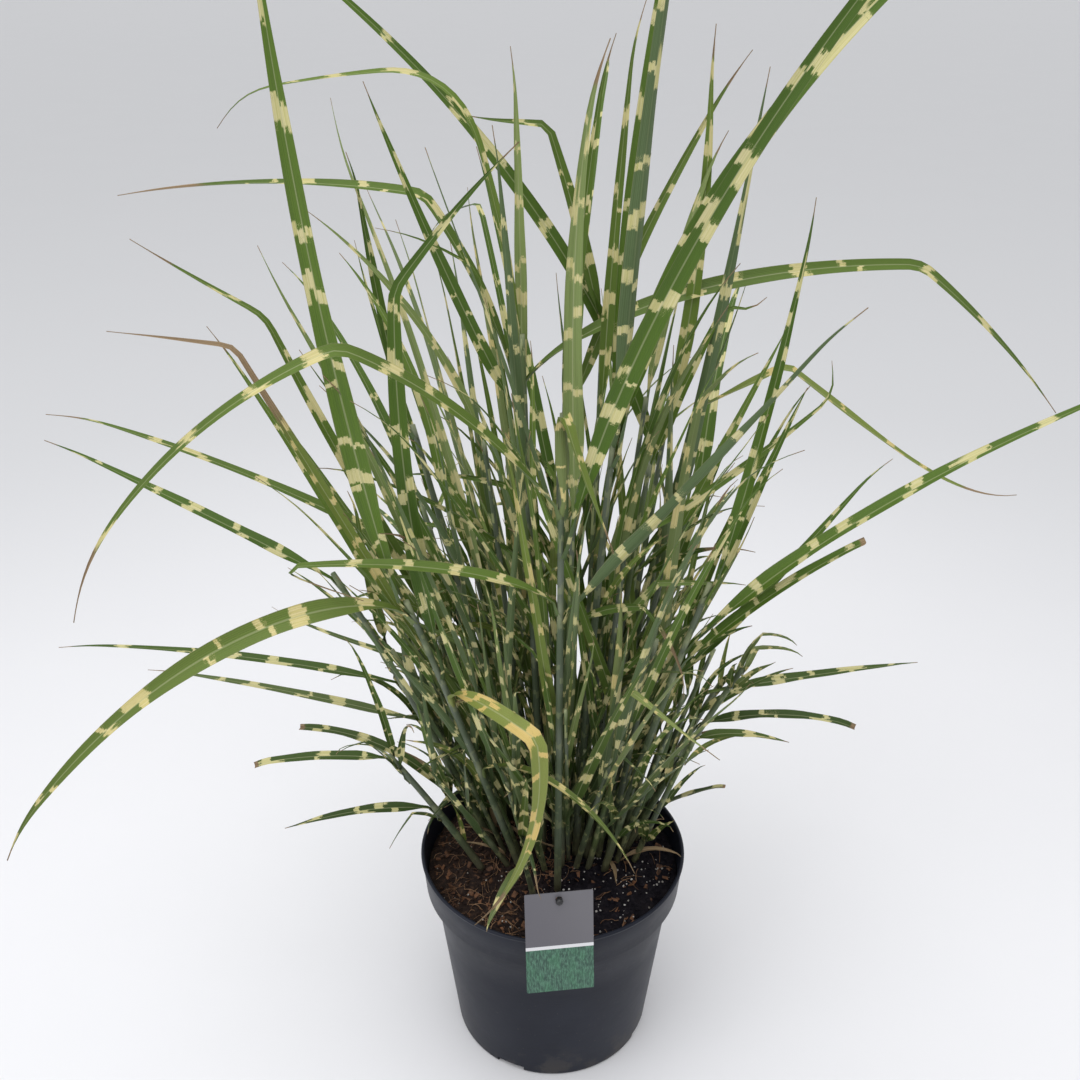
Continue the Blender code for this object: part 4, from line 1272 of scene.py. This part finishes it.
def make_fibres(chance):
    """Coir and root fibres, thin bent strands lying on the compost."""
    shape = new_shape()
    for _ in range(FIBRES):
        spot = soil_spot(chance, side=-1) + Vector((0, 0, 0.0006))
        compass = chance.uniform(0, 360)
        turn = chance.uniform(-110, 110)
        length = chance.uniform(0.005, 0.020)
        points = [spot]
        for k in range(6):
            ahead = points[-1] + heading(compass + turn * k / 6, 0.0) * length / 6
            if math.hypot(ahead.x, ahead.y) > BAND_FOOT_RADIUS - WALL - 0.003:
                compass += 180
                ahead = points[-1] + heading(compass + turn * k / 6, 0.0) * length / 6
            ahead.z = soil_height(ahead.x, ahead.y) + 0.0007 + 0.0012 * math.sin(math.pi * (k + 1) / 7)
            points.append(ahead)
        add_strand(shape, points, chance.uniform(0.00012, 0.00032))
    closed(shape)
    look = bits_finish("coir", (0.110, 0.050, 0.024), (0.340, 0.200, 0.110))
    piece("fibres", shape, look)


def add_strand(shape, points, radius):
    """A thin tube along points that lie nearly level."""
    placed = rolled_grid(shape, STRAND_AROUND, len(points))
    for vert, (column, row) in placed.items():
        forward = (points[min(row + 1, len(points) - 1)] - points[max(row - 1, 0)]).normalized()
        side = forward.cross(Vector((0, 0, 1))).normalized()
        up = side.cross(forward)
        angle = math.tau * column / STRAND_AROUND
        vert.co = points[row] + (side * math.cos(angle) + up * math.sin(angle)) * radius
    paint_loops(shape, placed, lambda column, lower: column / STRAND_AROUND, range(len(points)))


def make_grit(chance):
    """Pale grains of grit and perlite."""
    shape = bmesh.new()
    for k in range(GRAINS):
        spot = soil_spot(chance, inner=0.2, side=1 if k % 3 else 0)
        size = chance.uniform(0.0003, 0.0011)
        made = bmesh.ops.create_icosphere(shape, subdivisions=1, radius=size)["verts"]
        for vert in made:
            vert.co *= chance.uniform(0.75, 1.25)
        bmesh.ops.translate(shape, vec=spot + Vector((0, 0, size * 0.5)), verts=made)
    for face in shape.faces:
        face.smooth = True
    look = bits_finish("grit", (0.180, 0.160, 0.140), (0.620, 0.600, 0.570), scale=700.0)
    piece("grit", shape, look)


def make_crumbs(chance):
    """Dark crumbs of compost."""
    shape = bmesh.new()
    for _ in range(CRUMBS):
        spot = soil_spot(chance)
        size = chance.uniform(0.0008, 0.0028)
        made = bmesh.ops.create_icosphere(shape, subdivisions=1, radius=size)["verts"]
        for vert in made:
            vert.co = Vector((vert.co.x, vert.co.y * 0.8, vert.co.z * 0.7)) * chance.uniform(0.7, 1.3)
        turn = Matrix.Rotation(chance.uniform(0, math.tau), 4, "Z")
        strew(shape, made, spot, turn, size * 0.15)
    piece("crumbs", shape, soil_finish())


# ---------------------------------------------------------------- label

def card_frame():
    """Where the label is: its own axes run across it, out of its back and up it, from where it rests."""
    yaw = Matrix.Rotation(math.radians(CARD_YAW), 4, "Z")
    lean = Matrix.Rotation(math.radians(-CARD_LEAN), 4, "X")
    return Matrix.Translation(CARD_REST) @ yaw @ lean


def make_card():
    """The label: a thin plate with rounded corners and a round hole near its top."""
    shape = bmesh.new()
    layer = shape.loops.layers.uv.new("card")
    bottom = CARD_ABOVE_REST - CARD_HEIGHT
    corners = []
    for x, z, start in ((1, 1, 0), (-1, 1, 90), (-1, -1, 180), (1, -1, 270)):
        centre = (
            x * (CARD_WIDTH / 2 - CARD_CORNER),
            bottom + CARD_HEIGHT / 2 + z * (CARD_HEIGHT / 2 - CARD_CORNER),
        )
        corners += arc(centre, CARD_CORNER, start, start + 90, 5)
    outer = [shape.verts.new((x, 0.0, z)) for x, z in corners]
    hole_at = (0.0, CARD_ABOVE_REST - CARD_HOLE_DROP)
    hole = [shape.verts.new((x, 0.0, z)) for x, z in arc(hole_at, CARD_HOLE_RADIUS, 0, 360, 28)[:-1]]
    edges = [
        shape.edges.new((ring[i], ring[(i + 1) % len(ring)]))
        for ring in (outer, hole) for i in range(len(ring))
    ]
    bmesh.ops.triangle_fill(shape, edges=edges, use_beauty=True)
    bmesh.ops.recalc_face_normals(shape, faces=shape.faces[:])
    if shape.faces[:][0].normal.y > 0:
        bmesh.ops.reverse_faces(shape, faces=shape.faces[:])
    made = bmesh.ops.extrude_face_region(shape, geom=shape.faces[:])
    lifted = [item for item in made["geom"] if isinstance(item, bmesh.types.BMVert)]
    bmesh.ops.translate(shape, vec=(0.0, -CARD_THICKNESS, 0.0), verts=lifted)
    bmesh.ops.recalc_face_normals(shape, faces=shape.faces[:])
    for face in shape.faces:
        for loop in face.loops:
            loop[layer].uv = (loop.vert.co.x / CARD_WIDTH + 0.5, (loop.vert.co.z - bottom) / CARD_HEIGHT)
    bmesh.ops.transform(shape, matrix=card_frame(), verts=shape.verts[:])
    piece("plant_label", shape, card_finish(), ["label_card"])


def make_peg():
    """The peg: a thin tapering rod behind the card, bent through its hole into a teardrop knob."""
    label = card_frame()
    hole = CARD_ABOVE_REST - CARD_HOLE_DROP
    behind = 2.2 * STAKE_RADIUS
    route = [
        (STAKE_FOOT, 0.8),
        (STAKE_FOOT.lerp(label @ Vector((0.0, 2 * behind, hole - 0.012)), 0.5), 1.0),
        (label @ Vector((0.0, 1.9 * behind, hole - 0.012)), 1.0),
        (label @ Vector((0.0, 1.6 * behind, hole - 0.007)), 1.0),
        (label @ Vector((0.0, 1.2 * behind, hole - 0.003)), 1.0),
        (label @ Vector((0.0, 0.6 * behind, hole - 0.0005)), 1.0),
        (label @ Vector((0.0, 0.0, hole)), 1.0),
        (label @ Vector((0.0, -0.4 * behind, hole)), 1.0),
        (label @ Vector((0.0, -0.55 * behind, hole)), 1.9),
        (label @ Vector((0.0, -0.9 * behind, hole)), 2.15),
        (label @ Vector((0.0, -1.4 * behind, hole)), 2.1),
        (label @ Vector((0.0, -1.8 * behind, hole)), 1.5),
        (label @ Vector((0.0, -2.0 * behind, hole)), 0.5),
    ]
    shape = new_shape()
    radii = [STAKE_RADIUS * scale for _, scale in route]
    add_stem(shape, [spot for spot, _ in route], radii, 0.0, flat=1.0)
    closed(shape)
    piece("label_peg", shape, peg_finish(), ["label_stake"])


# ---------------------------------------------------------------- floor, light and camera

CAMERA_VIEW = 50.0            # degrees across the view
CAMERA_DIP = 26.8             # degrees below level


def make_stage():
    """A wide plain floor."""
    shape = bmesh.new()
    bmesh.ops.create_circle(shape, cap_ends=True, radius=60.0, segments=96)
    data = bpy.data.meshes.new("floor")
    shape.to_mesh(data)
    shape.free()
    data.materials.append(floor_finish())
    floor = bpy.data.objects.new("floor", data)
    bpy.context.scene.collection.objects.link(floor)


def add_lamp(name, power, size, spot, aim, colour=(1.0, 1.0, 1.0)):
    lamp = bpy.data.lights.new(name, "AREA")
    lamp.energy = power
    lamp.size = size
    lamp.color = colour
    item = bpy.data.objects.new(name, lamp)
    bpy.context.scene.collection.objects.link(item)
    item.location = spot
    item.rotation_euler = (Vector(aim) - Vector(spot)).to_track_quat("-Z", "Y").to_euler()


def make_light():
    """Soft light from all round, with a large lamp above and another at the left."""
    world = bpy.data.worlds.new("studio")
    world.use_nodes = True
    world.node_tree.nodes["Background"].inputs["Color"].default_value = (0.98, 0.985, 1.0, 1.0)
    world.node_tree.nodes["Background"].inputs["Strength"].default_value = 0.86
    bpy.context.scene.world = world
    add_lamp("ceiling_light", 34.0, 2.4, (-0.3, -0.6, 3.0), (0.0, 0.0, 0.3))
    add_lamp("window_light", 12.0, 1.8, (-2.2, -1.6, 1.6), (0.0, 0.0, 0.4), (0.96, 0.98, 1.0))
    bpy.context.scene.view_settings.view_transform = "Standard"


def make_camera():
    camera = bpy.data.cameras.new("camera")
    camera.angle = math.radians(CAMERA_VIEW)
    camera.clip_end = 200.0
    item = bpy.data.objects.new("camera", camera)
    bpy.context.scene.collection.objects.link(item)
    item.location = FRONT
    item.rotation_euler = (math.radians(90.0 - CAMERA_DIP), 0.0, 0.0)
    bpy.context.scene.camera = item


def main():
    blade_look = blade_finish()
    stem_look = stem_finish()
    stems = make_main_stems(stem_look)
    make_main_leaves(stems, blade_look)
    make_side_shoots(blade_look, stem_look)
    make_small_shoots(blade_look, stem_look)
    make_low_leaves(blade_look)
    make_dead_sheaths(blade_look)
    make_pot()
    make_soil()
    chance = random.Random(12)
    make_bark(chance)
    make_fibres(chance)
    make_grit(chance)
    make_crumbs(chance)
    make_card()
    make_peg()
    make_stage()
    make_light()
    make_camera()


main()
